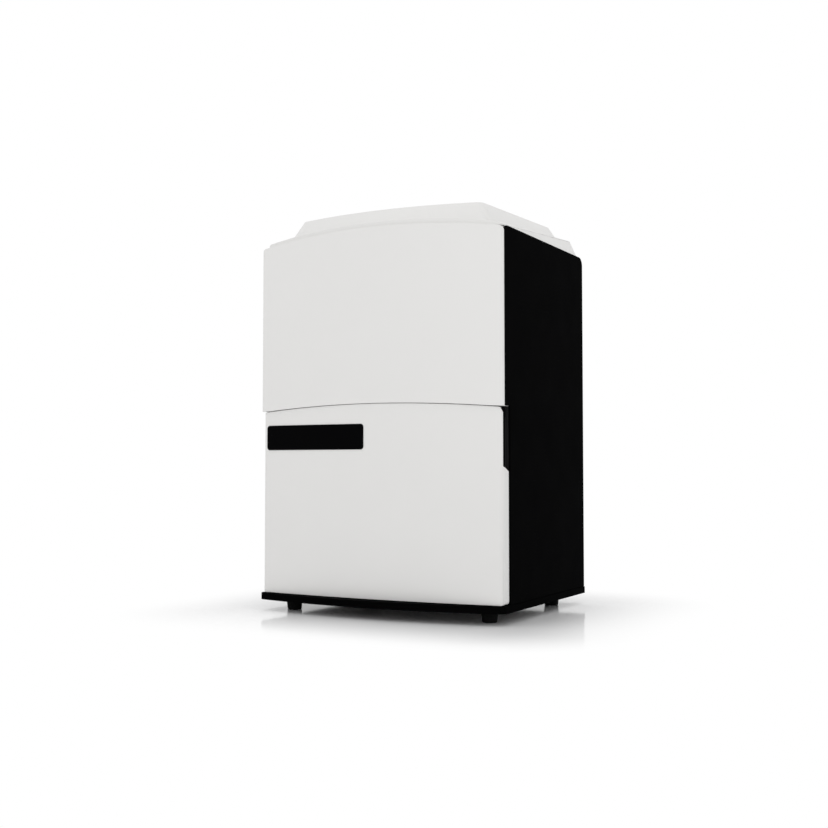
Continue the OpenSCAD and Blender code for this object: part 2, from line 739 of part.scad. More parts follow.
module lamp_housings() {
    color("#26282b") at_lamps() difference() {
        union() {
            block([-12, -lamp_len / 2, -8], [12, lamp_len / 2, 8]);
            for (y = [-50, 50]) block([-3, y - 6, -15.6], [3, y + 6, -7]);
        }
        block([-10, -lamp_len / 2 + 2, -6], [10, lamp_len / 2 - 2, 9]);
    }
}

module led_boards() {
    color("#f0f0e4") at_lamps() {
        block([-9, -lamp_len / 2 + 3, -6], [9, lamp_len / 2 - 3, -4.4]);
        for (i = [-6:6], x = [-4, 4]) block([x - 1.6, i * 10.5 - 1.6, -4.4], [x + 1.6, i * 10.5 + 1.6, -3]);
    }
}

module lamp_diffusers() {
    color("#f4f4f0") at_lamps() block([-9.9, -lamp_len / 2 + 2.1, 5], [9.9, lamp_len / 2 - 2.1, 7.6]);
}

// ---- Transilluminator ----

window_mid_y = optic_y;

module uv_housing() {
    color("#2a2c2e") difference() {
        block([-table_half, table_front, table_floor], [table_half, table_back, frame_low]);
        block([-table_half + 1.5, table_front + 1.5, table_floor + 1.5], [table_half - 1.5, table_back - 1.5, frame_low + 1]);
        for (i = [-6:6]) block([i * 14 - 4, table_front - 1, 38], [i * 14 + 4, table_front + 2, 42]);
    }
}

// Polished trough reflector: one shallow valley under each tube
module uv_reflector() {
    wave_t = 0.8;
    low = 48;
    count = 36;
    span = tube_count * tube_pitch;
    phase = tube_count % 2 == 0 ? 180 : 0;
    line = [for (i = [0:count]) let (y = span * (i / count - 0.5))
        [window_mid_y + y, low + 2.5 * (1 - cos(360 * y / tube_pitch + phase))]];
    color("#d8dcdf") along_width(-100, 100) polygon(concat(line, reversed([for (p = line) [p[0], p[1] - wave_t]])));
}

function tube_y(i) = window_mid_y + (i - (tube_count - 1) / 2) * tube_pitch;

module uv_tubes() {
    for (i = [0:tube_count - 1]) translate([0, tube_y(i), tube_z]) rotate([0, 90, 0]) {
        color("#dfe4ff") translate([0, 0, -tube_half + 8]) cylinder(r = tube_r, h = 2 * tube_half - 16);
        color("silver") both_ends() {
            translate([0, 0, tube_half - 8]) cylinder(r = tube_r - 0.2, h = 8);
            for (x = [-2.4, 2.4]) translate([x, 0, tube_half]) cylinder(r = 1.1, h = 6);
        }
    }
}

module both_ends() {
    children();
    mirror([0, 0, 1]) children();
}

module tube_sockets() {
    color("#e6e6e0") both_sides() for (i = [0:tube_count - 1]) translate([0, tube_y(i), 0]) difference() {
        block([tube_half + 0.3, -8, table_floor + 1.5], [tube_half + 12, 8, tube_z + 9]);
        block([tube_half, -1.3, tube_z - 4], [tube_half + 7, 1.3, tube_z + 10]);
    }
}

module uv_ballast() {
    color("#c9ccd0") for (x = [-78, 20]) difference() {
        block([x, -50, table_floor + 1.5], [x + 60, 70, 44]);
        block([x - 1, -51, 42.5], [x + 61, -44, 50]);
    }
}

module uv_filter_glass() {
    color("#3a2a58") block([-window_w / 2 - 5, window_mid_y - window_d / 2 - 5, glass_z],
        [window_w / 2 + 5, window_mid_y + window_d / 2 + 5, frame_low]);
}

module window_frame() {
    color("#c4c8cb") difference() {
        block([-table_half, table_front, frame_low], [table_half, table_back, frame_top]);
        translate([-window_w / 2 + 3, window_mid_y - window_d / 2 + 3, frame_low - 1]) linear_extrude(frame_top)
            offset_rect(window_w - 6, window_d - 6, 3);
    }
}

// Lift-off plate that turns ultraviolet light into white, with a finger tab at each side
module converter_plate() {
    half_x = window_w / 2 + 8;
    half_y = window_d / 2 + 4;
    color("#dfe8f0") difference() {
        union() {
            block([-half_x, window_mid_y - half_y, frame_top], [half_x, window_mid_y + half_y, frame_top + 6]);
            both_sides() block([half_x - eps, window_mid_y - 22, frame_top + 3], [half_x + 10, window_mid_y + 22, frame_top + 6]);
        }
        block([-half_x + 8, window_mid_y - half_y + 8, frame_top + 4.4], [half_x - 8, window_mid_y + half_y - 8, frame_top + 8]);
    }
}

// ---- Electrics ----

module power_supply() {
    low = deck_z + deck_t;
    color("#b9bdc0") difference() {
        block([-160, -60, low], [-90, 60, low + 38]);
        block([-158.8, -58.8, low + 1.2], [-91.2, 58.8, low + 36.8]);
        for (i = [0:9], j = [0:3]) block([-150 + j * 14, -52 + i * 11, low + 30], [-142 + j * 14, -47 + i * 11, low + 40]);
    }
    color("#8c6a2c") block([-150, -30, low + 1.2], [-120, 10, low + 26]);
    color("#22303c") for (y = [28, 44]) translate([-110, y, low + 1.2]) cylinder(r = 6, h = 24);
}

module control_board() {
    low = deck_z + deck_t;
    color("#1f5a34") block([86, -66, low + 6], [156, 66, low + 7.6]);
    color("silver") for (x = [90, 152], y = [-62, 62]) translate([x, y, low]) cylinder(r = 2.5, h = 6);
    color("#181818") {
        block([104, -20, low + 7.6], [128, 4, low + 10]);
        block([136, 20, low + 7.6], [148, 44, low + 10]);
        for (y = [-54, -40, 30, 44]) block([90, y, low + 7.6], [98, y + 9, low + 16]);
    }
}

module fan_frame() {
    half = fan_size / 2;
    color("#1b1b1b") translate([fan_x, 0, fan_z]) difference() {
        union() {
            difference() {
                block([-half, back_y - fan_depth, -half], [half, back_y, half]);
                rotate([90, 0, 0]) translate([0, 0, -back_y - 1]) cylinder(r = duct_r, h = fan_depth + 2);
                for (x = [-1, 1], z = [-1, 1]) block([x > 0 ? 20 : -half - 1, back_y - fan_depth + 3, z > 0 ? 20 : -half - 1],
                    [x > 0 ? half + 1 : -20, back_y - 3, z > 0 ? half + 1 : -20]);
            }
            rotate([90, 0, 0]) translate([0, 0, -back_y + fan_depth - 3]) cylinder(r = 13, h = 3);
            for (turn = [45, 135, 225, 315]) rotate([0, turn, 0])
                block([11, back_y - fan_depth, -1.2], [duct_r + 1.5, back_y - fan_depth + 2.6, 1.2]);
        }
        rotate([90, 0, 0]) translate([0, 0, -back_y]) cylinder(r = 1.5 + run_gap, h = fan_depth + 2);
        for (x = [-1, 1], z = [-1, 1]) translate([x * 25, back_y - fan_depth - 1, z * 25]) rotate([-90, 0, 0])
            cylinder(r = 1.9, h = fan_depth + 2);
    }
}

module fan_rotor() {
    color("#242424") translate([fan_x, back_y, fan_z]) rotate([90, 0, 0]) {
        translate([0, 0, 2]) cylinder(r = 13, h = 14);
        translate([0, 0, 3]) cylinder(r = 1.5, h = fan_depth - 3.5);
        for (i = [0:blade_count - 1]) rotate(360 * i / blade_count) translate([12, 0, 9]) rotate([38, 0, 0])
            intersection() {
                block([0, -8, -0.7], [9.8, 8, 0.7]);
                rotate([-38, 0, 0]) block([0, -9, -6.4], [11, 9, 6.4]);
            }
    }
}

module fan_guard() {
    color("silver") translate([fan_x, rear_y, fan_z]) rotate([-90, 0, 0]) difference() {
        union() {
            for (r = [8, 15, 22]) difference() {
                cylinder(r = r + 1, h = 1.6);
                translate([0, 0, -1]) cylinder(r = r - 1, h = 4);
            }
            for (turn = [45, 135]) rotate(turn) block([-37, -1.5, 0], [37, 1.5, 1.6]);
            for (turn = [0:3]) rotate(45 + 90 * turn) translate([25 * sqrt(2), 0, 0]) cylinder(r = 4, h = 1.6);
        }
        for (turn = [0:3]) rotate(45 + 90 * turn) translate([25 * sqrt(2), 0, -1]) cylinder(r = 1.8, h = 4);
    }
}

// Mains inlet module: socket with three blades, fuse slot and rocker window in one moulding
module power_inlet() {
    out = rear_y + 3.5;
    color("#121212") difference() {
        union() {
            block([inlet_x - 26, rear_y, inlet_z - 41], [inlet_x + 26, out, inlet_z + 33]);
            block([inlet_x - 23, back_y - 24, inlet_z - 38], [inlet_x + 23, rear_y, inlet_z + 30]);
        }
        along_depth(back_y - 12, out + 1) polygon([[inlet_x - 14, inlet_z + 2], [inlet_x + 14, inlet_z + 2],
            [inlet_x + 14, inlet_z + 17], [inlet_x + 9, inlet_z + 22], [inlet_x - 9, inlet_z + 22], [inlet_x - 14, inlet_z + 17]]);
        block([inlet_x - 14, back_y - 16, inlet_z - 9], [inlet_x + 14, out + 1, inlet_z - 2]);
        block([inlet_x - 11, back_y - 14, inlet_z - 34], [inlet_x + 11, out + 1, inlet_z - 15]);
    }
    color("silver") {
        for (x = [-7, 7]) block([inlet_x + x - 1, back_y - 12.5, inlet_z + 6], [inlet_x + x + 1, out - 3, inlet_z + 12]);
        block([inlet_x - 1, back_y - 12.5, inlet_z + 12], [inlet_x + 1, out - 2, inlet_z + 18]);
    }
    color("#121212") both_rocker_stubs();
}

rocker_z = inlet_z - 24.5;
rocker_y = rear_y - 1;

module both_rocker_stubs() {
    for (x = [-11.5, 8.9]) translate([inlet_x + x, rocker_y, rocker_z]) rotate([0, 90, 0]) cylinder(r = 1.4, h = 2.6);
}

module fuse_drawer() {
    out = rear_y + 3.5;
    color("#1a1a1a") {
        block([inlet_x - 13.7, back_y - 12, inlet_z - 8.7], [inlet_x + 13.7, out - 0.1, inlet_z - 2.3]);
    }
}

// Rocker that turns on two stubs; its face is two flats that meet over the axis
module power_rocker() {
    color("#b01818") difference() {
        translate([inlet_x - 8.7, 0, 0]) along_width(0, 17.4) polygon([for (p = [[-6.5, -6.5], [-6.5, 6.5], [0.2, 8.2],
            [3.6, 8.4], [1.9, 0], [2.6, -8.4], [0.2, -8.2]]) [rocker_y + p[0], rocker_z + p[1]]]);
        translate([inlet_x - 20, rocker_y, rocker_z]) rotate([0, 90, 0]) cylinder(r = 1.4 + run_gap, h = 40);
    }
}

module usb_port() {
    color("silver") difference() {
        block([39, back_y - 14, inlet_z - 6], [51, rear_y + 1.5, inlet_z + 6]);
        block([40.6, back_y - 8, inlet_z - 4.2], [49.4, rear_y + 2, inlet_z + 4.2]);
    }
    color("#f0f0f0") block([42.2, back_y - 8.5, inlet_z - 1.6], [47.8, rear_y, inlet_z + 1.6]);
}

base_pan();
rubber_feet();
foot_screws();
left_side_panel();
right_side_panel();
rear_panel();
rear_panel_screws();
top_cover();
upper_front_panel();
front_bulkhead();
chamber_liner();
chamber_floor();
camera_deck();
door_shell();
door_liner();
door_gasket();
label_plate();
grip_cup();
hinge_pins();
hinge_bushes();
hinge_bracket();
catch_magnets();
strike_plates();
interlock_sensor();
interlock_magnet();
optics_bridge();
camera_bracket();
camera_body();
lens_barrel();
front_lens();
iris_ring();
zoom_ring();
focus_ring();
filter_wheel();
emission_filters();
wheel_shaft();
wheel_motor();
lamp_housings();
led_boards();
lamp_diffusers();
uv_housing();
uv_reflector();
uv_tubes();
tube_sockets();
uv_ballast();
uv_filter_glass();
window_frame();
converter_plate();
power_supply();
control_board();
fan_frame();
fan_rotor();
fan_guard();
power_inlet();
fuse_drawer();
power_rocker();
usb_port();
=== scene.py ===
import json
from math import cos, pi, radians, sin

import bmesh
import bpy
from mathutils import Matrix, Vector


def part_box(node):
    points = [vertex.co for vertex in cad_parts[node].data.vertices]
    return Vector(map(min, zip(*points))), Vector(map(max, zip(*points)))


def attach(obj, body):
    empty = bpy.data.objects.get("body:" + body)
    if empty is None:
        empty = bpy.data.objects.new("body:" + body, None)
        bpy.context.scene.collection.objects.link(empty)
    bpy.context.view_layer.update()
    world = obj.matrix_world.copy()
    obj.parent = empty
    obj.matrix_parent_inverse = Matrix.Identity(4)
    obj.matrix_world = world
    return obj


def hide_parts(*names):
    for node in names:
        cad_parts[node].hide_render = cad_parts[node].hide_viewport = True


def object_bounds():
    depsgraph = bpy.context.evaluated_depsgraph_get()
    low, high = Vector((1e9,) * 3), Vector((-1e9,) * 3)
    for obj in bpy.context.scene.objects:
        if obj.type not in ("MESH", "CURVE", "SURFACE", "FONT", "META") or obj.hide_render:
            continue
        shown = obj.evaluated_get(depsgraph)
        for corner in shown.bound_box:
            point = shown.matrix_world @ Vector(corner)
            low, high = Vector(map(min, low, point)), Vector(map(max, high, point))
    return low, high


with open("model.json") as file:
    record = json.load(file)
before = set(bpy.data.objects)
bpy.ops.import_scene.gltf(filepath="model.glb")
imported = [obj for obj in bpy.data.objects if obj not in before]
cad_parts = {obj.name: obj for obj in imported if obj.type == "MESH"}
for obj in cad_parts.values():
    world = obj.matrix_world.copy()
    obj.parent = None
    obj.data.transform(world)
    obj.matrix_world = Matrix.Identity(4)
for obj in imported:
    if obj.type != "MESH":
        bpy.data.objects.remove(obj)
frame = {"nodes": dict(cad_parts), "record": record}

cad_box = [list(corner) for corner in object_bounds()]

# ---------------------------------------------------------------------------
# Camera: a short telephoto a little above the bench, to the right of the door,
# tilted up slightly so that the cabinet's uprights lean in towards the top.


def placed_in_scene(name, data):
    """A new object in the scene, left at the origin."""
    thing = bpy.data.objects.new(name, data)
    bpy.context.scene.collection.objects.link(thing)
    return thing


camera_place = Vector((0.7210, -1.3795, 0.1849))
camera_yaw = radians(-28.05)
camera_pitch = radians(2.5)
sensor_mm = 36.0
lens_mm = 51.45
view_line = Vector((sin(camera_yaw) * cos(camera_pitch), cos(camera_yaw) * cos(camera_pitch),
                    sin(camera_pitch)))
camera_data = bpy.data.cameras.new("studio_camera")
camera_data.sensor_fit = "HORIZONTAL"
camera_data.sensor_width = sensor_mm
camera_data.lens = lens_mm
camera = placed_in_scene("studio_camera", camera_data)
camera.location = camera_place
camera.rotation_euler = view_line.to_track_quat("-Z", "Y").to_euler()
bpy.context.scene.camera = camera
bpy.context.scene.view_settings.view_transform = "Standard"

# ---------------------------------------------------------------------------
# Studio light: an even white room, with a broad soft lamp ahead of the door and
# weaker ones overhead and to the right, at a level where a colour comes out as
# it is written.
room_level = 0.84
seen_level = 1.0
white = (1.0, 1.0, 1.0, 1.0)
world = bpy.data.worlds.new("studio_room")
bpy.context.scene.world = world
world.use_nodes = True
room = world.node_tree
room_light = room.nodes["Background"]
room_seen = room.nodes.new("ShaderNodeBackground")
for backdrop, level in ((room_light, room_level), (room_seen, seen_level)):
    backdrop.inputs["Color"].default_value = white
    backdrop.inputs["Strength"].default_value = level
room_path = room.nodes.new("ShaderNodeLightPath")
seen_or_mirrored = room.nodes.new("ShaderNodeMath")
seen_at_all = room.nodes.new("ShaderNodeMath")
for either in (seen_or_mirrored, seen_at_all):
    either.operation = "MAXIMUM"
room_mix = room.nodes.new("ShaderNodeMixShader")
for source, target in (
        (room_path.outputs["Is Camera Ray"], seen_or_mirrored.inputs[0]),
        (room_path.outputs["Is Glossy Ray"], seen_or_mirrored.inputs[1]),
        (seen_or_mirrored.outputs[0], seen_at_all.inputs[0]),
        (room_path.outputs["Is Transmission Ray"], seen_at_all.inputs[1]),
        (seen_at_all.outputs[0], room_mix.inputs["Fac"]),
        (room_light.outputs[0], room_mix.inputs[1]),
        (room_seen.outputs[0], room_mix.inputs[2]),
        (room_mix.outputs[0], room.nodes["World Output"].inputs["Surface"])):
    room.links.new(source, target)


def soft_lamp(name, place, aim, size, power):
    """A square area lamp at place, turned to face aim."""
    data = bpy.data.lights.new(name, "AREA")
    data.shape = "SQUARE"
    data.size = size
    data.energy = power
    lamp = placed_in_scene(name, data)
    lamp.location = place
    lamp.rotation_euler = (Vector(aim) - Vector(place)).to_track_quat("-Z", "Y").to_euler()


door_middle = (0.0, 0.0, 0.25)
cabinet_middle = (0.0, 0.0, 0.3)
soft_lamp("front_softbox", (0.25, -3.2, 0.9), door_middle, size=2.6, power=19.0)
soft_lamp("top_softbox", (-0.4, -0.6, 2.8), cabinet_middle, size=2.2, power=5.0)
soft_lamp("side_softbox", (3.0, 0.2, 1.2), cabinet_middle, size=2.0, power=7.0)

# ---------------------------------------------------------------------------
# Floor: a pale polished sweep. Round the cabinet it is lit, keeps the shadow
# and mirrors the plinth; what the camera sees of it fades to the white room.
floor_half = 6.0
floor_clear = (cad_box[1][0], cad_box[1][1], 0.0)
fade_end = 0.18
floor_colour = (0.95, 0.95, 0.955, 1.0)
floor_roughness = 0.09
floor_ior = 1.16
floor_mesh = bpy.data.meshes.new("studio_floor")
floor_mesh.from_pydata([(x * floor_half, y * floor_half, 0)
                        for x, y in ((-1, -1), (1, -1), (1, 1), (-1, 1))], [], [(0, 1, 2, 3)])
floor = placed_in_scene("studio_floor", floor_mesh)
floor_skin = bpy.data.materials.new("studio_floor_paint")
floor_skin.use_nodes = True
floor_tree = floor_skin.node_tree
paint = floor_tree.nodes["Principled BSDF"]
paint.inputs["Base Color"].default_value = floor_colour
paint.inputs["Roughness"].default_value = floor_roughness
paint.inputs["IOR"].default_value = floor_ior
white_glow = floor_tree.nodes.new("ShaderNodeEmission")
floor_place = floor_tree.nodes.new("ShaderNodeTexCoord")
floor_abs, floor_past, floor_out, floor_reach = [
    floor_tree.nodes.new("ShaderNodeVectorMath") for _ in range(4)]
floor_abs.operation = "ABSOLUTE"
floor_past.operation = "SUBTRACT"
floor_past.inputs[1].default_value = floor_clear
floor_out.operation = "MAXIMUM"
floor_out.inputs[1].default_value = (0.0, 0.0, 0.0)
floor_reach.operation = "LENGTH"
floor_fade = floor_tree.nodes.new("ShaderNodeMapRange")
floor_fade.interpolation_type = "SMOOTHSTEP"
floor_fade.inputs["From Min"].default_value = 0.0
floor_fade.inputs["From Max"].default_value = fade_end
floor_path = floor_tree.nodes.new("ShaderNodeLightPath")
floor_only_seen = floor_tree.nodes.new("ShaderNodeMath")
floor_only_seen.operation = "MULTIPLY"
floor_mix = floor_tree.nodes.new("ShaderNodeMixShader")
for source, target in (
        (floor_place.outputs["Object"], floor_abs.inputs[0]),
        (floor_abs.outputs["Vector"], floor_past.inputs[0]),
        (floor_past.outputs["Vector"], floor_out.inputs[0]),
        (floor_out.outputs["Vector"], floor_reach.inputs[0]),
        (floor_reach.outputs["Value"], floor_fade.inputs["Value"]),
        (floor_fade.outputs["Result"], floor_only_seen.inputs[0]),
        (floor_path.outputs["Is Camera Ray"], floor_only_seen.inputs[1]),
        (floor_only_seen.outputs[0], floor_mix.inputs["Fac"]),
        (paint.outputs["BSDF"], floor_mix.inputs[1]),
        (white_glow.outputs["Emission"], floor_mix.inputs[2]),
        (floor_mix.outputs[0], floor_tree.nodes["Material Output"].inputs["Surface"])):
    floor_tree.links.new(source, target)
floor_mesh.materials.append(floor_skin)

# ---------------------------------------------------------------------------
# White mouldings: the stepped top cover, the bowed upper front panel and the
# bowed door. Each is injection-moulded in off-white plastic with a fine satin
# texture and small rounded edges.
mm = 0.001
body_of_node = {node: body for body, members in frame["record"]["behaviour"]["bodies"].items()
                for node in members}


def finish(name, colour, roughness, metallic=0.0, grain=0.6 * mm, depth=0.01 * mm, mottle=0.03,
           unevenness=0.05, stretch=(1.0, 1.0, 1.0), **sockets):
    """A material with faint mottle in its colour, uneven gloss and a fine grain in relief."""
    cloud_scale, cloud_detail, speck_detail = 24.0, 4.0, 2.0
    cloud_low, cloud_high = 0.3, 0.7
    skin = bpy.data.materials.new(name)
    skin.use_nodes = True
    tree = skin.node_tree
    shader = tree.nodes["Principled BSDF"]
    shader.inputs["Metallic"].default_value = metallic
    for socket, value in sockets.items():
        shader.inputs[socket.replace("_", " ")].default_value = value
    place = tree.nodes.new("ShaderNodeTexCoord")
    turn = tree.nodes.new("ShaderNodeMapping")
    turn.inputs["Scale"].default_value = stretch
    tree.links.new(place.outputs["Object"], turn.inputs["Vector"])
    cloud = tree.nodes.new("ShaderNodeTexNoise")
    cloud.inputs["Scale"].default_value = cloud_scale
    cloud.inputs["Detail"].default_value = cloud_detail
    speck = tree.nodes.new("ShaderNodeTexNoise")
    speck.inputs["Scale"].default_value = 1.0 / grain
    speck.inputs["Detail"].default_value = speck_detail
    for texture in (cloud, speck):
        tree.links.new(turn.outputs["Vector"], texture.inputs["Vector"])
    tint = tree.nodes.new("ShaderNodeMix")
    tint.data_type = "RGBA"
    for end, shade in (("A", 1 - mottle), ("B", 1 + mottle)):
        tint.inputs[end].default_value = [min(1.0, channel * shade) for channel in colour] + [1.0]
    tree.links.new(cloud.outputs["Fac"], tint.inputs["Factor"])
    tree.links.new(tint.outputs["Result"], shader.inputs["Base Color"])
    gloss = tree.nodes.new("ShaderNodeMapRange")
    gloss.inputs["From Min"].default_value = cloud_low
    gloss.inputs["From Max"].default_value = cloud_high
    gloss.inputs["To Min"].default_value = max(0.02, roughness - unevenness)
    gloss.inputs["To Max"].default_value = min(1.0, roughness + unevenness)
    tree.links.new(cloud.outputs["Fac"], gloss.inputs["Value"])
    tree.links.new(gloss.outputs["Result"], shader.inputs["Roughness"])
    relief = tree.nodes.new("ShaderNodeBump")
    relief.inputs["Strength"].default_value = 1.0
    relief.inputs["Distance"].default_value = depth
    tree.links.new(speck.outputs["Fac"], relief.inputs["Height"])
    tree.links.new(relief.outputs["Normal"], shader.inputs["Normal"])
    return skin


def smoothed(mesh, crease=32.0):
    """Shades a mesh smooth except across edges sharper than crease degrees."""
    mesh.shade_smooth()
    mesh.set_sharp_from_angle(angle=radians(crease))


def joined(piece, node, skin):
    """Says which body a piece rides on and which finish it takes, from the node it belongs to."""
    piece.data.materials.clear()
    piece.data.materials.append(skin)
    for face in piece.data.polygons:
        face.material_index = 0
    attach(piece, body_of_node[node])
    return piece


def freeze(piece):
    """Applies a piece's modifiers and leaves a plain mesh."""
    frozen = bpy.data.meshes.new_from_object(
        piece.evaluated_get(bpy.context.evaluated_depsgraph_get()))
    piece.modifiers.clear()
    piece.data = frozen


def trim(piece, outline):
    """Takes an outline in the X-Z plane, run through between two depths, away from a piece."""
    corners, front, rear = outline
    count = len(corners)
    block = bmesh.new()
    ends = [[block.verts.new((x, y, z)) for x, z in corners] for y in (front, rear)]
    block.faces.new(ends[0])
    block.faces.new(ends[1][::-1])
    for i in range(count):
        j = (i + 1) % count
        block.faces.new((ends[0][i], ends[1][i], ends[1][j], ends[0][j]))
    bmesh.ops.recalc_face_normals(block, faces=block.faces)
    cutter_mesh = bpy.data.meshes.new("trimming_block")
    block.to_mesh(cutter_mesh)
    block.free()
    cutter = placed_in_scene("trimming_block", cutter_mesh)
    trimming = piece.modifiers.new("trimming", "BOOLEAN")
    trimming.operation = "DIFFERENCE"
    trimming.solver = "EXACT"
    trimming.object = cutter
    freeze(piece)
    bpy.data.objects.remove(cutter)


def rounded_corner(x, z, radius, side, lean=0.0, steps=7):
    """What rounding takes off a corner at (x, z): side is 1 or -1, lean the slope of its top."""
    over = 3 * mm
    up = 1 if z > seam_height else -1
    centre_x = x - side * radius
    centre_z = z + up * radius * (sin(lean) - 1) / cos(lean)
    sweep = [(pi / 2 - lean) * i / steps for i in range(steps + 1)]
    curve = [(centre_x + side * radius * cos(a), centre_z + up * radius * sin(a)) for a in sweep]
    tip = (curve[-1][0] + side * over * sin(lean), curve[-1][1] + up * over * cos(lean))
    return curve + [tip, (x + side * over, z + up * over), (x + side * over, centre_z)]


def dressed(node, skin, edge=0.4 * mm, steps=2, crease=32.0, cuts=(), reshape=None):
    """Welds a copy of a node, trims, rounds and finishes it; the copy stands for the node."""
    weld = 0.003 * mm
    flat = radians(0.08)
    shape = bmesh.new()
    shape.from_mesh(frame["nodes"][node].data)
    bmesh.ops.remove_doubles(shape, verts=shape.verts, dist=weld)
    bmesh.ops.dissolve_limit(shape, angle_limit=flat, verts=shape.verts, edges=shape.edges)
    if reshape:
        reshape(shape.verts)
    mesh = bpy.data.meshes.new(node + "_finish")
    shape.to_mesh(mesh)
    shape.free()
    piece = placed_in_scene(node + "_finish", mesh)
    for outline in cuts:
        trim(piece, outline)
    smoothed(piece.data, crease)
    if edge:
        rounding = piece.modifiers.new("rounding", "BEVEL")
        rounding.width = edge
        rounding.segments = steps
        rounding.limit_method = "ANGLE"
        rounding.angle_limit = radians(crease)
        rounding.use_clamp_overlap = False
        rounding.harden_normals = True
        freeze(piece)
    joined(piece, node, skin)
    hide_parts(node)


white_moulding = finish("white_moulding", (0.745, 0.740, 0.728), 0.36, grain=0.7 * mm,
                        depth=0.004 * mm, mottle=0.008, unevenness=0.04)
panel_low, panel_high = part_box("upper_front_panel")
door_low, door_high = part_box("door_shell")
side_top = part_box("left_side_panel")[1][2]
seam_height = 252 * mm
seam_arch_top = 282 * mm
seam_drop = 0.7 * mm
panel_wall = 4 * mm
same_edge = 0.2 * mm


def close_seam(verts):
    """Lowers the panel's bottom edge a little, so that the seam over the door is fine."""
    lowest = {}
    for vert in verts:
        column = round(vert.co.x, 4)
        lowest[column] = min(lowest.get(column, 1.0), vert.co.z)
    for vert in verts:
        base = lowest[round(vert.co.x, 4)]
        between_sides = abs(vert.co.x) < panel_high[0] - panel_wall
        if between_sides and base < seam_arch_top and vert.co.z < base + same_edge:
            vert.co.z -= seam_drop


crown_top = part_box("top_cover")[1][2] - 6 * mm
crown_half = 129 * mm
crown_middle_y = -70 * mm
crown_reach = 4 * mm
crown_foot_low = side_top + 7.8 * mm
crown_foot_high = side_top + 9.2 * mm
crown_foot_half = 137.9 * mm
crown_foot_front = -107 * mm
crown_foot_drop = 3.5 * mm


def draw_crown(verts):
    """Brings the ends of the crown's front edge forward and seats its foot on the shelf."""
    for vert in verts:
        x, y, z = vert.co
        if z > crown_top and y < crown_middle_y:
            vert.co.y -= crown_reach * (x / crown_half) ** 2
        in_foot = crown_foot_low < z < crown_foot_high and abs(x) > crown_foot_half
        if in_foot and y > crown_foot_front:
            vert.co.z -= crown_foot_drop


cut_margin = 10 * mm
shoulder_r = 7 * mm
shoulder_lean = radians(9)
shoulder_z = side_top - 2 * mm
shoulders = [(rounded_corner(side * panel_high[0], shoulder_z, shoulder_r, side, shoulder_lean),
              panel_low[1] - cut_margin, panel_high[1] + cut_margin) for side in (-1, 1)]
toe_r = 4 * mm
toes = [(rounded_corner(side * door_high[0], door_low[2], toe_r, side),
         door_low[1] - cut_margin, door_high[1] + cut_margin) for side in (-1, 1)]
notch_x = 160.5 * mm
notch_z = 240.5 * mm
door_skin_back = -120.4 * mm
notch_right = door_high[0] + 1 * mm
notch_top = door_high[2] + 3 * mm
behind_notch = ([(notch_x, notch_z), (notch_right, notch_z), (notch_right, notch_top),
                 (notch_x, notch_top)], door_skin_back, door_high[1] + 1 * mm)
dressed("top_cover", white_moulding, edge=0.6 * mm, steps=3, reshape=draw_crown)
dressed("upper_front_panel", white_moulding, edge=0.4 * mm, steps=3, reshape=close_seam,
        cuts=shoulders)
dressed("door_shell", white_moulding, edge=0.5 * mm, steps=3, cuts=toes + [behind_notch])

# ---------------------------------------------------------------------------
# Black casing: two side panels, the rear panel and the bowed plinth pan, folded
# from sheet steel and powder-coated in a fine-textured deep black.
black_powder_coat = finish("black_powder_coat", (0.0016, 0.0016, 0.0017), 0.5, grain=0.9 * mm,
                           depth=0.03 * mm, mottle=0.1, IOR=1.02)
for sheet in ("left_side_panel", "right_side_panel", "rear_panel", "base_pan"):
    dressed(sheet, black_powder_coat, edge=0.6 * mm)

# ---------------------------------------------------------------------------
# Casing screws: black pan heads with a cross recess, turned into the folded
# lips round the rear panel, into the fan's corners and round the door frame.
black_screw_steel = finish("black_screw_steel", (0.02, 0.02, 0.021), 0.38, metallic=0.8,
                           grain=0.3 * mm)


def node_tree(name, sizes):
    """Starts a Geometry Nodes tree with one named input for each of a piece's sizes."""
    tree = bpy.data.node_groups.new(name, "GeometryNodeTree")
    tree.interface.new_socket("Geometry", in_out="INPUT", socket_type="NodeSocketGeometry")
    for size, value in sizes.items():
        whole = isinstance(value, int)
        tree.interface.new_socket(size, in_out="INPUT",
                                  socket_type="NodeSocketInt" if whole else "NodeSocketFloat")
    tree.interface.new_socket("Geometry", in_out="OUTPUT", socket_type="NodeSocketGeometry")
    return tree, tree.nodes.new("NodeGroupInput").outputs


def step(tree, kind, inputs=None, **settings):
    """Adds one node, with each input either a plain value or the output that feeds it."""
    node = tree.nodes.new(kind)
    for setting, value in settings.items():
        setattr(node, setting, value)
    for key, value in (inputs or {}).items():
        if isinstance(value, bpy.types.NodeSocket):
            tree.links.new(value, node.inputs[key])
        elif isinstance(value, list) and isinstance(value[0], bpy.types.NodeSocket):
            for source in value:
                tree.links.new(source, node.inputs[key])
        else:
            node.inputs[key].default_value = value
    return node


def times(tree, value, factor):
    """A size from an input, multiplied."""
    return step(tree, "ShaderNodeMath", {0: value, 1: factor}, operation="MULTIPLY").outputs[0]


def spot(tree, x=0.0, y=0.0, z=0.0):
    """A place whose coordinates are numbers or sizes from the inputs."""
    return step(tree, "ShaderNodeCombineXYZ", {"X": x, "Y": y, "Z": z}).outputs[0]


def moved(tree, shape, place, turn=(0.0, 0.0, 0.0)):
    """A shape turned and then shifted."""
    return step(tree, "GeometryNodeTransform",
                {"Geometry": shape, "Translation": place, "Rotation": turn}).outputs[0]


def bar(tree, size, place=(0.0, 0.0, 0.0)):
    """A block of the given size, centred on a place."""
    block = step(tree, "GeometryNodeMeshCube", {"Size": size}).outputs["Mesh"]
    return moved(tree, block, place)


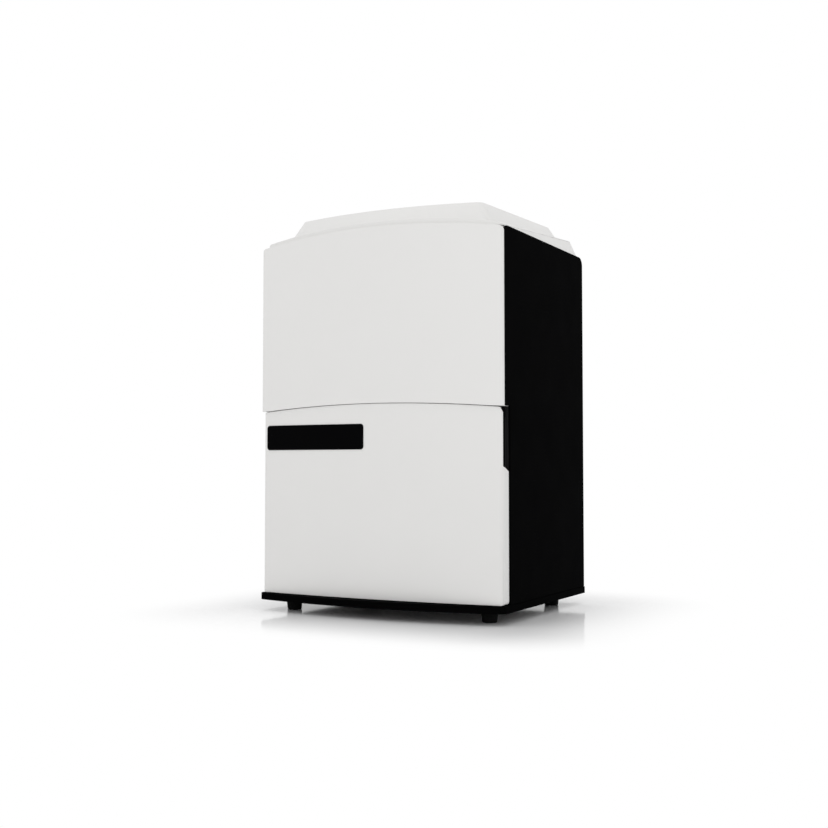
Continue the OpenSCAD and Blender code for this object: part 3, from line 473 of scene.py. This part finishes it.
def rod(tree, radius, length, place=(0.0, 0.0, 0.0), turn=(0.0, 0.0, 0.0), sides=20):
    """A round bar along its own Z axis, centred on a place."""
    stick = step(tree, "GeometryNodeMeshCylinder",
                 {"Vertices": sides, "Radius": radius, "Depth": length}).outputs["Mesh"]
    return moved(tree, stick, place, turn)


def set_on(tree, points, shape, turn=(0.0, 0.0, 0.0), scale=(1.0, 1.0, 1.0)):
    """Sets a shape on every point, turned and scaled."""
    return step(tree, "GeometryNodeInstanceOnPoints",
                {"Points": points, "Instance": shape, "Rotation": turn, "Scale": scale}).outputs[0]


def together(tree, *shapes):
    """Several shapes as one."""
    return step(tree, "GeometryNodeJoinGeometry", {"Geometry": list(shapes)}).outputs[0]


def grown(tree, shape, name, node, skin, points, sizes, crease=32.0):
    """Sets a tree's sizes, runs it on a set of points and keeps the result as a plain piece."""
    weld = 0.002 * mm
    solid = step(tree, "GeometryNodeRealizeInstances", {"Geometry": shape})
    painted = step(tree, "GeometryNodeSetMaterial",
                   {"Geometry": solid.outputs[0], "Material": skin})
    tree.links.new(painted.outputs[0], tree.nodes.new("NodeGroupOutput").inputs[0])
    start = bpy.data.meshes.new(name)
    start.from_pydata([tuple(point) for point in points], [], [])
    piece = placed_in_scene(name, start)
    growth = piece.modifiers.new("growth", "NODES")
    growth.node_group = tree
    for item in tree.interface.items_tree:
        if item.in_out == "INPUT" and item.name in sizes:
            growth[item.identifier] = sizes[item.name]
    freeze(piece)
    welded = bmesh.new()
    welded.from_mesh(piece.data)
    bmesh.ops.remove_doubles(welded, verts=welded.verts, dist=weld)
    bmesh.ops.recalc_face_normals(welded, faces=welded.faces)
    welded.to_mesh(piece.data)
    welded.free()
    smoothed(piece.data, crease)
    return joined(piece, node, skin)


def screws(name, node, skin, points, turn, head_r, head_h, shank_r, shank_l, seed):
    """Pan-head screws on a set of points, each turned about its own axis by chance."""
    rim_share, shoulder_share, dome_share = 0.5, 0.32, 0.18
    shoulder_width, dome_width = 0.87, 0.7
    slot_length, slot_width, slot_middle = 1.1, 0.24, 0.95
    any_turn = 6.28
    sizes = {"Head radius": head_r, "Head height": head_h, "Shank radius": shank_r,
             "Shank length": shank_l, "Seed": seed}
    tree, size = node_tree(name, sizes)
    rim = step(tree, "GeometryNodeMeshCylinder",
               {"Vertices": 24, "Radius": size["Head radius"],
                "Depth": times(tree, size["Head height"], rim_share)})
    head = moved(tree, rim.outputs["Mesh"],
                 spot(tree, z=times(tree, size["Head height"], rim_share / 2)))
    top = rim.outputs["Top"]
    for share, width in ((shoulder_share, shoulder_width), (dome_share, dome_width)):
        raised = step(tree, "GeometryNodeExtrudeMesh",
                      {"Mesh": head, "Selection": top, "Individual": False,
                       "Offset Scale": times(tree, size["Head height"], share)})
        top = raised.outputs["Top"]
        head = step(tree, "GeometryNodeScaleElements",
                    {"Geometry": raised.outputs["Mesh"], "Selection": top,
                     "Scale": width}).outputs[0]
    long_side = times(tree, size["Head radius"], slot_length)
    short_side = times(tree, size["Head radius"], slot_width)
    slots_at = spot(tree, z=times(tree, size["Head height"], slot_middle))
    slots = [bar(tree, spot(tree, across, along, size["Head height"]), slots_at)
             for across, along in ((long_side, short_side), (short_side, long_side))]
    slotted = step(tree, "GeometryNodeMeshBoolean", {"Mesh 1": head, "Mesh 2": slots},
                   operation="DIFFERENCE")
    shank = rod(tree, size["Shank radius"], size["Shank length"],
                spot(tree, z=times(tree, size["Shank length"], -0.5)), sides=12)
    placed = set_on(tree, size["Geometry"], together(tree, slotted.outputs[0], shank), turn)
    chance = step(tree, "FunctionNodeRandomValue", {"Max": any_turn, "Seed": size["Seed"]},
                  data_type="FLOAT")
    turned_by = [out for out in chance.outputs if out.type == "VALUE"][0]
    spun = step(tree, "GeometryNodeRotateInstances",
                {"Instances": placed, "Rotation": spot(tree, z=turned_by)})
    return grown(tree, spun.outputs[0], name, node, skin, points, sizes)


facing_back = (-pi / 2, 0.0, 0.0)
facing_front = (pi / 2, 0.0, 0.0)
facing_down = (pi, 0.0, 0.0)
facing_up = (0.0, 0.0, 0.0)
rear_face_y = 143.5 * mm
guard_wire = 1.6 * mm
fan_x = -95 * mm
fan_z = 400 * mm
fan_bolt_half = 25 * mm
edge_screws = [(x * mm, rear_face_y, z * mm) for x in (-160, 160) for z in (40, 170, 300, 440)]
fan_screws = [(fan_x + x * fan_bolt_half, rear_face_y + guard_wire, fan_z + z * fan_bolt_half)
              for x in (-1, 1) for z in (-1, 1)]
rear_screws = screws("rear_panel_screw_set", "rear_panel_screws", black_screw_steel,
                     edge_screws + fan_screws, facing_back, head_r=3.2 * mm, head_h=1.8 * mm,
                     shank_r=1.45 * mm, shank_l=3.2 * mm, seed=3)
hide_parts("rear_panel_screws")
door_frame_face = -105 * mm
frame_screws = [(x * mm, door_frame_face, z * mm) for x, z in
                ((-160, 60), (-160, 215), (160, 215), (160, 36), (-90, 249), (0, 250), (90, 249))]
screws("door_frame_screws", "front_bulkhead", black_screw_steel, frame_screws, facing_front,
       head_r=2.5 * mm, head_h=1.0 * mm, shank_r=1.2 * mm, shank_l=1.5 * mm, seed=8)

# ---------------------------------------------------------------------------
# Feet: tapered mouldings of black rubber, each held by a plated pan-head screw
# up its middle.
foot_rubber = finish("foot_rubber", (0.006, 0.006, 0.006), 0.75, grain=0.5 * mm, depth=0.04 * mm,
                     IOR=1.15)
zinc_steel = finish("zinc_steel", (0.55, 0.56, 0.57), 0.34, metallic=1.0, grain=0.4 * mm,
                    mottle=0.06)
dressed("rubber_feet", foot_rubber, edge=0.5 * mm, steps=3)
bolts_low, bolts_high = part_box("foot_screws")
bolt_head_r = 4.2 * mm
bolt_head_h = 2.4 * mm
bolt_seat_z = bolts_low[2] + bolt_head_h
foot_places = [(x, y, bolt_seat_z)
               for x in (bolts_low[0] + bolt_head_r, bolts_high[0] - bolt_head_r)
               for y in (bolts_low[1] + bolt_head_r, bolts_high[1] - bolt_head_r)]
foot_bolts = screws("foot_screw_set", "foot_screws", zinc_steel, foot_places, facing_down,
                    head_r=bolt_head_r, head_h=bolt_head_h, shank_r=2.0 * mm,
                    shank_l=bolts_high[2] - bolt_seat_z, seed=5)
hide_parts("foot_screws")

# ---------------------------------------------------------------------------
# Label plate: gloss black acrylic with rounded corners, glued to the door and
# left bare.
label_acrylic = finish("label_acrylic", (0.0015, 0.0015, 0.0017), 0.12, depth=0.001 * mm, IOR=1.06)
dressed("label_plate", label_acrylic, edge=0.2 * mm)

# ---------------------------------------------------------------------------
# Finger recess: a black moulded cup behind the door's free edge, with a solid
# end that closes the notch at the door's upper corner.
black_plastic = finish("black_plastic", (0.0025, 0.0025, 0.0027), 0.55, grain=0.5 * mm,
                       depth=0.02 * mm, IOR=1.05)
dressed("grip_cup", black_plastic, edge=0.3 * mm)
cup_low, cup_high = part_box("grip_cup")
cup_end_gap = 0.2 * mm
cup_end_low = (notch_x + cup_end_gap, cup_low[1], notch_z + cup_end_gap)
cup_end_high = (cup_high[0], cup_high[1], seam_height + 0.5 * mm)
cup_end_mesh = bpy.data.meshes.new("grip_cup_end")
cup_end_mesh.from_pydata(
    [(x, y, z) for x in (cup_end_low[0], cup_end_high[0])
     for y in (cup_end_low[1], cup_end_high[1]) for z in (cup_end_low[2], cup_end_high[2])], [],
    [(0, 1, 3, 2), (4, 6, 7, 5), (0, 4, 5, 1), (2, 3, 7, 6), (0, 2, 6, 4), (1, 5, 7, 3)])
cup_end = placed_in_scene("grip_cup_end", cup_end_mesh)
joined(cup_end, "grip_cup", black_plastic)

# ---------------------------------------------------------------------------
# Door lining: a black-painted steel sheet closes the moulding's back, with a
# closed-cell foam strip bent round it that presses on the frame of the opening.
matt_black_paint = finish("matt_black_paint", (0.012, 0.012, 0.0125), 0.62, grain=0.7 * mm,
                          depth=0.03 * mm, mottle=0.08, IOR=1.3)
gasket_foam = finish("gasket_foam", (0.01, 0.01, 0.01), 0.9, grain=0.4 * mm,
                     depth=0.15 * mm, IOR=1.2)
dressed("door_liner", matt_black_paint, edge=0.3 * mm)
gasket_low, gasket_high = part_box("door_gasket")
strip_w = 6.0 * mm
strip_t = gasket_high[1] - gasket_low[1]
gasket_sizes = {"Ring width": gasket_high[0] - gasket_low[0] - strip_w,
                "Ring height": gasket_high[2] - gasket_low[2] - strip_w,
                "Bend radius": 3.0 * mm, "Strip width": strip_w, "Strip thickness": strip_t,
                "Rounding": 1.2 * mm}
gasket_tree, gasket_size = node_tree("foam_gasket", gasket_sizes)
ring = step(gasket_tree, "GeometryNodeCurvePrimitiveQuadrilateral",
            {"Width": gasket_size["Ring width"], "Height": gasket_size["Ring height"]})
ring_path = step(gasket_tree, "GeometryNodeFilletCurve",
                 {"Curve": ring.outputs[0], "Count": 6, "Radius": gasket_size["Bend radius"]},
                 mode="POLY")
strip = step(gasket_tree, "GeometryNodeCurvePrimitiveQuadrilateral",
             {"Width": gasket_size["Strip width"], "Height": gasket_size["Strip thickness"]})
strip_edge = step(gasket_tree, "GeometryNodeFilletCurve",
                  {"Curve": strip.outputs[0], "Count": 4, "Radius": gasket_size["Rounding"]},
                  mode="POLY")
bead = step(gasket_tree, "GeometryNodeCurveToMesh",
            {"Curve": ring_path.outputs[0], "Profile Curve": strip_edge.outputs[0]})
gasket_middle = [(low + high) / 2 for low, high in zip(gasket_low, gasket_high)]
gasket = grown(gasket_tree, moved(gasket_tree, bead.outputs[0], gasket_middle, facing_front),
               "door_gasket_strip", "door_gasket", gasket_foam, [], gasket_sizes)
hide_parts("door_gasket")

# ---------------------------------------------------------------------------
# Hinges and catches: steel pins turn in nylon bushes, an angle carries the
# upper bush, and ferrite magnets in the frame hold the plated strike plates.
natural_nylon = finish("natural_nylon", (0.7, 0.69, 0.63), 0.45, mottle=0.03)
ferrite = finish("ferrite", (0.03, 0.03, 0.033), 0.55, grain=0.4 * mm, depth=0.03 * mm)
for plated in ("hinge_pins", "hinge_bracket", "strike_plates"):
    dressed(plated, zinc_steel, edge=0.2 * mm)
for magnet in ("catch_magnets", "interlock_magnet"):
    dressed(magnet, ferrite, edge=0.3 * mm)
dressed("hinge_bushes", natural_nylon, edge=0.2 * mm)
dressed("interlock_sensor", natural_nylon, edge=0.3 * mm)

# ---------------------------------------------------------------------------
# Chamber: the frame round the door opening, the folded walls, the raised floor
# and the ceiling deck, all in sheet steel painted matt black.
for wall in ("front_bulkhead", "chamber_liner", "chamber_floor", "camera_deck"):
    dressed(wall, matt_black_paint, edge=0.4 * mm)

# ---------------------------------------------------------------------------
# Transilluminator: a black steel box with a brushed frame round a violet filter
# glass. Under the glass lie a polished trough reflector, the tubes in their
# sockets and two ballasts, and an opal converter plate rests on the frame.
bright_aluminium = finish("bright_aluminium", (0.85, 0.86, 0.88), 0.12, metallic=1.0, mottle=0.02)
tube_glass = finish("tube_glass", (0.72, 0.74, 0.9), 0.1, depth=0.0, unevenness=0.02)
violet_glass = finish("violet_glass", (0.012, 0.006, 0.03), 0.06, depth=0.0, unevenness=0.02,
                      IOR=1.5)
brushed_steel = finish("brushed_steel", (0.56, 0.57, 0.58), 0.3, metallic=1.0, grain=0.5 * mm,
                       depth=0.01 * mm, mottle=0.06, stretch=(0.04, 1.0, 1.0))
opal_converter = finish("opal_converter", (0.72, 0.77, 0.84), 0.35, mottle=0.015)
dressed("uv_housing", matt_black_paint, edge=0.4 * mm)
dressed("window_frame", brushed_steel, edge=0.4 * mm)
dressed("uv_filter_glass", violet_glass, edge=0.4 * mm)
dressed("converter_plate", opal_converter, edge=0.5 * mm)
dressed("uv_reflector", bright_aluminium, edge=0.0, crease=50.0)
dressed("tube_sockets", natural_nylon, edge=0.3 * mm)
dressed("uv_ballast", zinc_steel, edge=0.4 * mm)
rim_low, rim_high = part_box("window_frame")
rim_inset_x = 7 * mm
rim_inset_y = 5 * mm
rim_corners = [(x, y, rim_high[2]) for x in (rim_low[0] + rim_inset_x, rim_high[0] - rim_inset_x)
               for y in (rim_low[1] + rim_inset_y, rim_high[1] - rim_inset_y)]
screws("window_frame_screws", "window_frame", zinc_steel, rim_corners, facing_up,
       head_r=2.4 * mm, head_h=1.2 * mm, shank_r=1.3 * mm, shank_l=4.0 * mm, seed=11)
table_y = 11 * mm
tube_count = 6
tube_pitch = 29 * mm
tube_z = 62 * mm
lying = (0.0, pi / 2, 0.0)
tube_sizes = {"Glass radius": 7.75 * mm, "Glass length": 196 * mm}
tube_tree, tube_size = node_tree("ultraviolet_tubes", tube_sizes)
tube = rod(tube_tree, tube_size["Glass radius"], tube_size["Glass length"], turn=lying, sides=40)
tube_places = [(0.0, table_y + (i - (tube_count - 1) / 2) * tube_pitch, tube_z)
               for i in range(tube_count)]
tubes = grown(tube_tree, set_on(tube_tree, tube_size["Geometry"], tube), "uv_tube_glass",
              "uv_tubes", tube_glass, tube_places, tube_sizes)
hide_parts("uv_tubes")
cap_sizes = {"Cap radius": 7.6 * mm, "Cap length": 8 * mm, "Pin radius": 1.1 * mm,
             "Pin length": 6 * mm, "Pin spacing": 4.8 * mm}
cap_tree, cap_size = node_tree("ultraviolet_tube_caps", cap_sizes)
cap_x = 102 * mm
pin_middle = 0.875
cap = rod(cap_tree, cap_size["Cap radius"], cap_size["Cap length"], turn=lying, sides=40)
pins = [rod(cap_tree, cap_size["Pin radius"], cap_size["Pin length"],
            spot(cap_tree, x=times(cap_tree, cap_size["Cap length"], pin_middle),
                 z=times(cap_tree, cap_size["Pin spacing"], side)), lying, sides=12)
        for side in (-0.5, 0.5)]
cap_place = step(cap_tree, "GeometryNodeInputPosition")
cap_side = step(cap_tree, "ShaderNodeSeparateXYZ", {"Vector": cap_place.outputs[0]})
on_left = step(cap_tree, "ShaderNodeMath", {0: cap_side.outputs["X"], 1: 0.0},
               operation="LESS_THAN")
caps_placed = set_on(cap_tree, cap_size["Geometry"], together(cap_tree, cap, *pins),
                     spot(cap_tree, z=times(cap_tree, on_left.outputs[0], pi)))
grown(cap_tree, caps_placed, "uv_tube_caps", "uv_tubes", bright_aluminium,
      [(side * cap_x, y, z) for side in (-1, 1) for _, y, z in tube_places], cap_sizes)

# ---------------------------------------------------------------------------
# White lamps: black troughs under the ceiling, each with a white circuit board
# of domed diodes behind an opal sheet.
satin_black = finish("satin_black", (0.012, 0.0125, 0.014), 0.35, metallic=0.4, grain=0.3 * mm)
white_board = finish("white_board", (0.78, 0.78, 0.74), 0.4, mottle=0.03)
opal_sheet = finish("opal_sheet", (0.82, 0.82, 0.8), 0.5, mottle=0.01)
phosphor = finish("phosphor", (0.86, 0.66, 0.12), 0.35, mottle=0.03)
dressed("lamp_housings", satin_black, edge=0.3 * mm)
dressed("led_boards", white_board, edge=0.1 * mm)
dressed("lamp_diffusers", opal_sheet, edge=0.3 * mm)
lamp_x = 118 * mm
lamp_z = 276 * mm
lamp_tilt = radians(215)
board_face = -3.0 * mm
diode_pitch = 10.5 * mm
diode_row = 4 * mm
diodes_each_way = 6
dome_flatness = 0.4
diode_sizes = {"Dome radius": 1.2 * mm}
for side, name in ((-1, "lamp_diodes_left"), (1, "lamp_diodes_right")):
    lamp_turn = Matrix.Rotation(side * lamp_tilt, 3, "Y")
    lamp_place = Vector((side * lamp_x, table_y, lamp_z))
    diode_places = [lamp_place + lamp_turn @ Vector((u * diode_row, i * diode_pitch, board_face))
                    for i in range(-diodes_each_way, diodes_each_way + 1) for u in (-1, 1)]
    diode_tree, diode_size = node_tree("lamp_diodes", diode_sizes)
    dome = step(diode_tree, "GeometryNodeMeshUVSphere",
                {"Segments": 12, "Rings": 6, "Radius": diode_size["Dome radius"]})
    flat_dome = step(diode_tree, "GeometryNodeTransform",
                     {"Geometry": dome.outputs[0], "Scale": (1.0, 1.0, dome_flatness)})
    diodes_placed = set_on(diode_tree, diode_size["Geometry"], flat_dome.outputs[0],
                           (0.0, side * lamp_tilt, 0.0))
    grown(diode_tree, diodes_placed, name, "led_boards", phosphor, diode_places, diode_sizes)

# ---------------------------------------------------------------------------
# Filter wheel: a black disc with coloured emission filters, on a steel shaft
# that a small motor turns.
amber_glass = finish("amber_glass", (0.85, 0.28, 0.03), 0.05, depth=0.0, unevenness=0.01,
                     Transmission_Weight=0.85, IOR=1.5)
camera_alloy = finish("camera_alloy", (0.03, 0.032, 0.035), 0.42, metallic=0.7, grain=0.4 * mm)
dressed("filter_wheel", satin_black, edge=0.4 * mm)
dressed("emission_filters", amber_glass, edge=0.2 * mm)
dressed("wheel_shaft", zinc_steel, edge=0.2 * mm)
dressed("wheel_motor", camera_alloy, edge=0.4 * mm)

# ---------------------------------------------------------------------------
# Zoom lens: a satin black barrel with three ribbed grip rings and a coated
# front element.
ring_rubber = finish("ring_rubber", (0.015, 0.015, 0.015), 0.7, grain=0.3 * mm, depth=0.03 * mm)
coated_glass = finish("coated_glass", (0.35, 0.42, 0.62), 0.03, depth=0.0, unevenness=0.01,
                      Transmission_Weight=0.9, IOR=1.6)
dressed("lens_barrel", satin_black, edge=0.3 * mm)
dressed("front_lens", coated_glass, edge=0.0)
for ring_node in ("focus_ring", "zoom_ring", "iris_ring"):
    dressed(ring_node, ring_rubber, edge=0.3 * mm)

# ---------------------------------------------------------------------------
# Camera and its stand: an anodised bridge over the filter wheel, a column with
# a top plate, and a finned black camera head that hangs from it.
anodised_grey = finish("anodised_grey", (0.22, 0.235, 0.25), 0.4, metallic=0.9, grain=0.4 * mm)
for stand in ("optics_bridge", "camera_bracket"):
    dressed(stand, anodised_grey, edge=0.4 * mm)
dressed("camera_body", camera_alloy, edge=0.4 * mm)

# ---------------------------------------------------------------------------
# Power supply: an open-frame unit in a slotted cage of plated steel, which
# stands on the deck beside the camera.
dressed("power_supply", zinc_steel, edge=0.3 * mm)

# ---------------------------------------------------------------------------
# Control board: a green circuit board on four pillars, carrying a square black
# chip with two rows of legs, a driver package and two pairs of sockets.
board_green = finish("board_green", (0.012, 0.10, 0.04), 0.35, mottle=0.2, unevenness=0.08)
dressed("control_board", board_green, edge=0.2 * mm)
package_z = 306.9 * mm
socket_z = 309.9 * mm
chip_place = (116 * mm, -8 * mm, package_z)
driver_place = (142 * mm, 32 * mm, package_z)
socket_places = [(94 * mm, y * mm, socket_z) for y in (-49.5, -35.5, 34.5, 48.5)]
legs_reach = 1.14
chip_sizes = {"Body size": 22.0 * mm, "Body height": 2.6 * mm, "Leg size": 0.5 * mm,
              "Leg count": 12, "Leg spacing": 1.6 * mm}
chip_tree, chip_size = node_tree("board_chips", chip_sizes)
chip_body = bar(chip_tree, spot(chip_tree, chip_size["Body size"], chip_size["Body size"],
                                chip_size["Body height"]))
leg_row = step(chip_tree, "GeometryNodeMeshLine",
               {"Count": chip_size["Leg count"],
                "Start Location": spot(chip_tree, times(chip_tree, chip_size["Leg spacing"],
                                                        -(chip_sizes["Leg count"] - 1) / 2)),
                "Offset": spot(chip_tree, chip_size["Leg spacing"])})
leg_pair = bar(chip_tree, spot(chip_tree, chip_size["Leg size"],
                               times(chip_tree, chip_size["Body size"], legs_reach),
                               chip_size["Leg size"]))
chip = together(chip_tree, chip_body, set_on(chip_tree, leg_row.outputs[0], leg_pair))
grown(chip_tree, set_on(chip_tree, chip_size["Geometry"], chip), "control_board_chips",
      "control_board", black_plastic, [chip_place], chip_sizes)


def packages(name, width, length, height, places):
    """Black moulded packages of one size, soldered to the board."""
    sizes = {"Width": width, "Length": length, "Height": height}
    tree, size = node_tree(name, sizes)
    body = bar(tree, spot(tree, size["Width"], size["Length"], size["Height"]))
    grown(tree, set_on(tree, size["Geometry"], body), name, "control_board", black_plastic,
          places, sizes)


packages("control_board_sockets", width=8.4 * mm, length=9.4 * mm, height=8.6 * mm,
         places=socket_places)
packages("control_board_driver", width=12.4 * mm, length=24.4 * mm, height=2.6 * mm,
         places=[driver_place])

# ---------------------------------------------------------------------------
# Cooling fan: a black moulded frame and bladed rotor behind the rear panel, and
# a guard of plated wire rings and arms under the fan's four screws.
for moulded in ("fan_frame", "fan_rotor"):
    dressed(moulded, black_plastic, edge=0.3 * mm)
guard_arms = 4
guard_sizes = {"First ring": 8.0 * mm, "Ring step": 7.0 * mm, "Rings": 3,
               "Wire radius": guard_wire / 2, "Arm length": 33.0 * mm,
               "Eye distance": 35.355 * mm, "Eye radius": 2.9 * mm}
guard_tree, guard_size = node_tree("fan_guard_wires", guard_sizes)
ring_starts = step(guard_tree, "GeometryNodeMeshLine",
                   {"Count": guard_size["Rings"], "Offset": (0.0, 0.0, 0.0)})
point_number = step(guard_tree, "GeometryNodeInputIndex")
ring_radius = step(guard_tree, "ShaderNodeMath",
                   {0: point_number.outputs[0], 1: guard_size["Ring step"],
                    2: guard_size["First ring"]}, operation="MULTIPLY_ADD").outputs[0]
unit_ring = step(guard_tree, "GeometryNodeCurvePrimitiveCircle",
                 {"Resolution": 48, "Radius": 1.0})
rings = set_on(guard_tree, ring_starts.outputs[0], unit_ring.outputs[0],
               scale=spot(guard_tree, ring_radius, ring_radius, 1.0))
arm_starts = step(guard_tree, "GeometryNodeMeshLine",
                  {"Count": guard_arms, "Offset": (0.0, 0.0, 0.0)})
arm_turn = step(guard_tree, "ShaderNodeMath",
                {0: point_number.outputs[0], 1: 2 * pi / guard_arms, 2: pi / guard_arms},
                operation="MULTIPLY_ADD").outputs[0]
arm = step(guard_tree, "GeometryNodeCurvePrimitiveLine",
           {"Start": (0.0, 0.0, 0.0), "End": spot(guard_tree, guard_size["Arm length"])})
eye = step(guard_tree, "GeometryNodeCurvePrimitiveCircle",
           {"Resolution": 24, "Radius": guard_size["Eye radius"]})
eye_out = moved(guard_tree, eye.outputs[0], spot(guard_tree, guard_size["Eye distance"]))
arms, eyes = [set_on(guard_tree, arm_starts.outputs[0], shape, spot(guard_tree, z=arm_turn))
              for shape in (arm.outputs[0], eye_out)]
wire_curves = step(guard_tree, "GeometryNodeRealizeInstances",
                   {"Geometry": together(guard_tree, rings, arms, eyes)})
even_wire = step(guard_tree, "GeometryNodeSetCurveRadius",
                 {"Curve": wire_curves.outputs[0], "Radius": 1.0})
wire_round = step(guard_tree, "GeometryNodeCurvePrimitiveCircle",
                  {"Resolution": 10, "Radius": guard_size["Wire radius"]})
wires = step(guard_tree, "GeometryNodeCurveToMesh",
             {"Curve": even_wire.outputs[0], "Profile Curve": wire_round.outputs[0],
              "Fill Caps": True})
guard_place = (fan_x, rear_face_y + guard_wire / 2, fan_z)
guard = grown(guard_tree, moved(guard_tree, wires.outputs[0], guard_place, facing_back),
              "fan_guard_wire", "fan_guard", zinc_steel, [], guard_sizes, crease=50.0)
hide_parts("fan_guard")

# ---------------------------------------------------------------------------
# Mains inlet: one black moulding with a three-blade socket, a fuse drawer and
# a red rocker whose two faces carry the usual line and ring.
rocker_red = finish("rocker_red", (0.42, 0.015, 0.012), 0.3, mottle=0.03)
mark_white = finish("mark_white", (0.8, 0.8, 0.78), 0.45, mottle=0.01)
dressed("power_inlet", black_plastic, edge=0.3 * mm)
dressed("fuse_drawer", black_plastic, edge=0.3 * mm)
dressed("power_rocker", rocker_red, edge=0.4 * mm)
inlet_x = 105 * mm
blade_y = 137.35 * mm
blade_places = [(inlet_x + x * mm, blade_y, z * mm) for x, z in ((-7, 359), (7, 359), (0, 365))]
blade_sizes = {"Blade thickness": 2.2 * mm, "Blade height": 6.2 * mm,
               "Blade length": 13.6 * mm}
blade_tree, blade_size = node_tree("inlet_blades", blade_sizes)
blade = bar(blade_tree, spot(blade_tree, blade_size["Blade thickness"], blade_size["Blade length"],
                             blade_size["Blade height"]))
grown(blade_tree, set_on(blade_tree, blade_size["Geometry"], blade), "inlet_blades",
      "power_inlet", zinc_steel, blade_places, blade_sizes)
off_place = (inlet_x, 145.45 * mm, 321.3 * mm)
off_lean = radians(4.8)
on_place = (inlet_x, 145.25 * mm, 329.9 * mm)
on_lean = radians(-11.4)
mark_sizes = {"Ring radius": 1.9 * mm, "Stroke": 0.35 * mm, "Line length": 4.2 * mm}
mark_tree, mark_size = node_tree("rocker_marks", mark_sizes)
off_ring = step(mark_tree, "GeometryNodeCurvePrimitiveCircle",
                {"Resolution": 24, "Radius": mark_size["Ring radius"]})
stroke = step(mark_tree, "GeometryNodeCurvePrimitiveQuadrilateral",
              {"Width": times(mark_tree, mark_size["Stroke"], 2.0), "Height": mark_size["Stroke"]})
off_mark = step(mark_tree, "GeometryNodeCurveToMesh",
                {"Curve": off_ring.outputs[0], "Profile Curve": stroke.outputs[0]})
on_mark = bar(mark_tree, spot(mark_tree, times(mark_tree, mark_size["Stroke"], 2.0),
                              mark_size["Line length"], mark_size["Stroke"]))
marks = together(mark_tree, *[moved(mark_tree, mark, place, (lean - pi / 2, 0.0, 0.0))
                              for mark, place, lean in ((off_mark.outputs[0], off_place, off_lean),
                                                        (on_mark, on_place, on_lean))])
grown(mark_tree, marks, "rocker_marks", "power_rocker", mark_white, [], mark_sizes)

# ---------------------------------------------------------------------------
# USB socket: a folded plated shell in the rear panel, with a white tongue that
# carries its contacts.
dressed("usb_port", zinc_steel, edge=0.2 * mm)
tongue_place = (45 * mm, 138.65 * mm, 350 * mm)
tongue_sizes = {"Tongue width": 5.8 * mm, "Tongue length": 9.9 * mm,
                "Tongue height": 3.4 * mm}
tongue_tree, tongue_size = node_tree("usb_tongue", tongue_sizes)
tongue = bar(tongue_tree, spot(tongue_tree, tongue_size["Tongue width"],
                               tongue_size["Tongue length"], tongue_size["Tongue height"]),
             tongue_place)
grown(tongue_tree, tongue, "usb_tongue", "usb_port", natural_nylon, [], tongue_sizes)
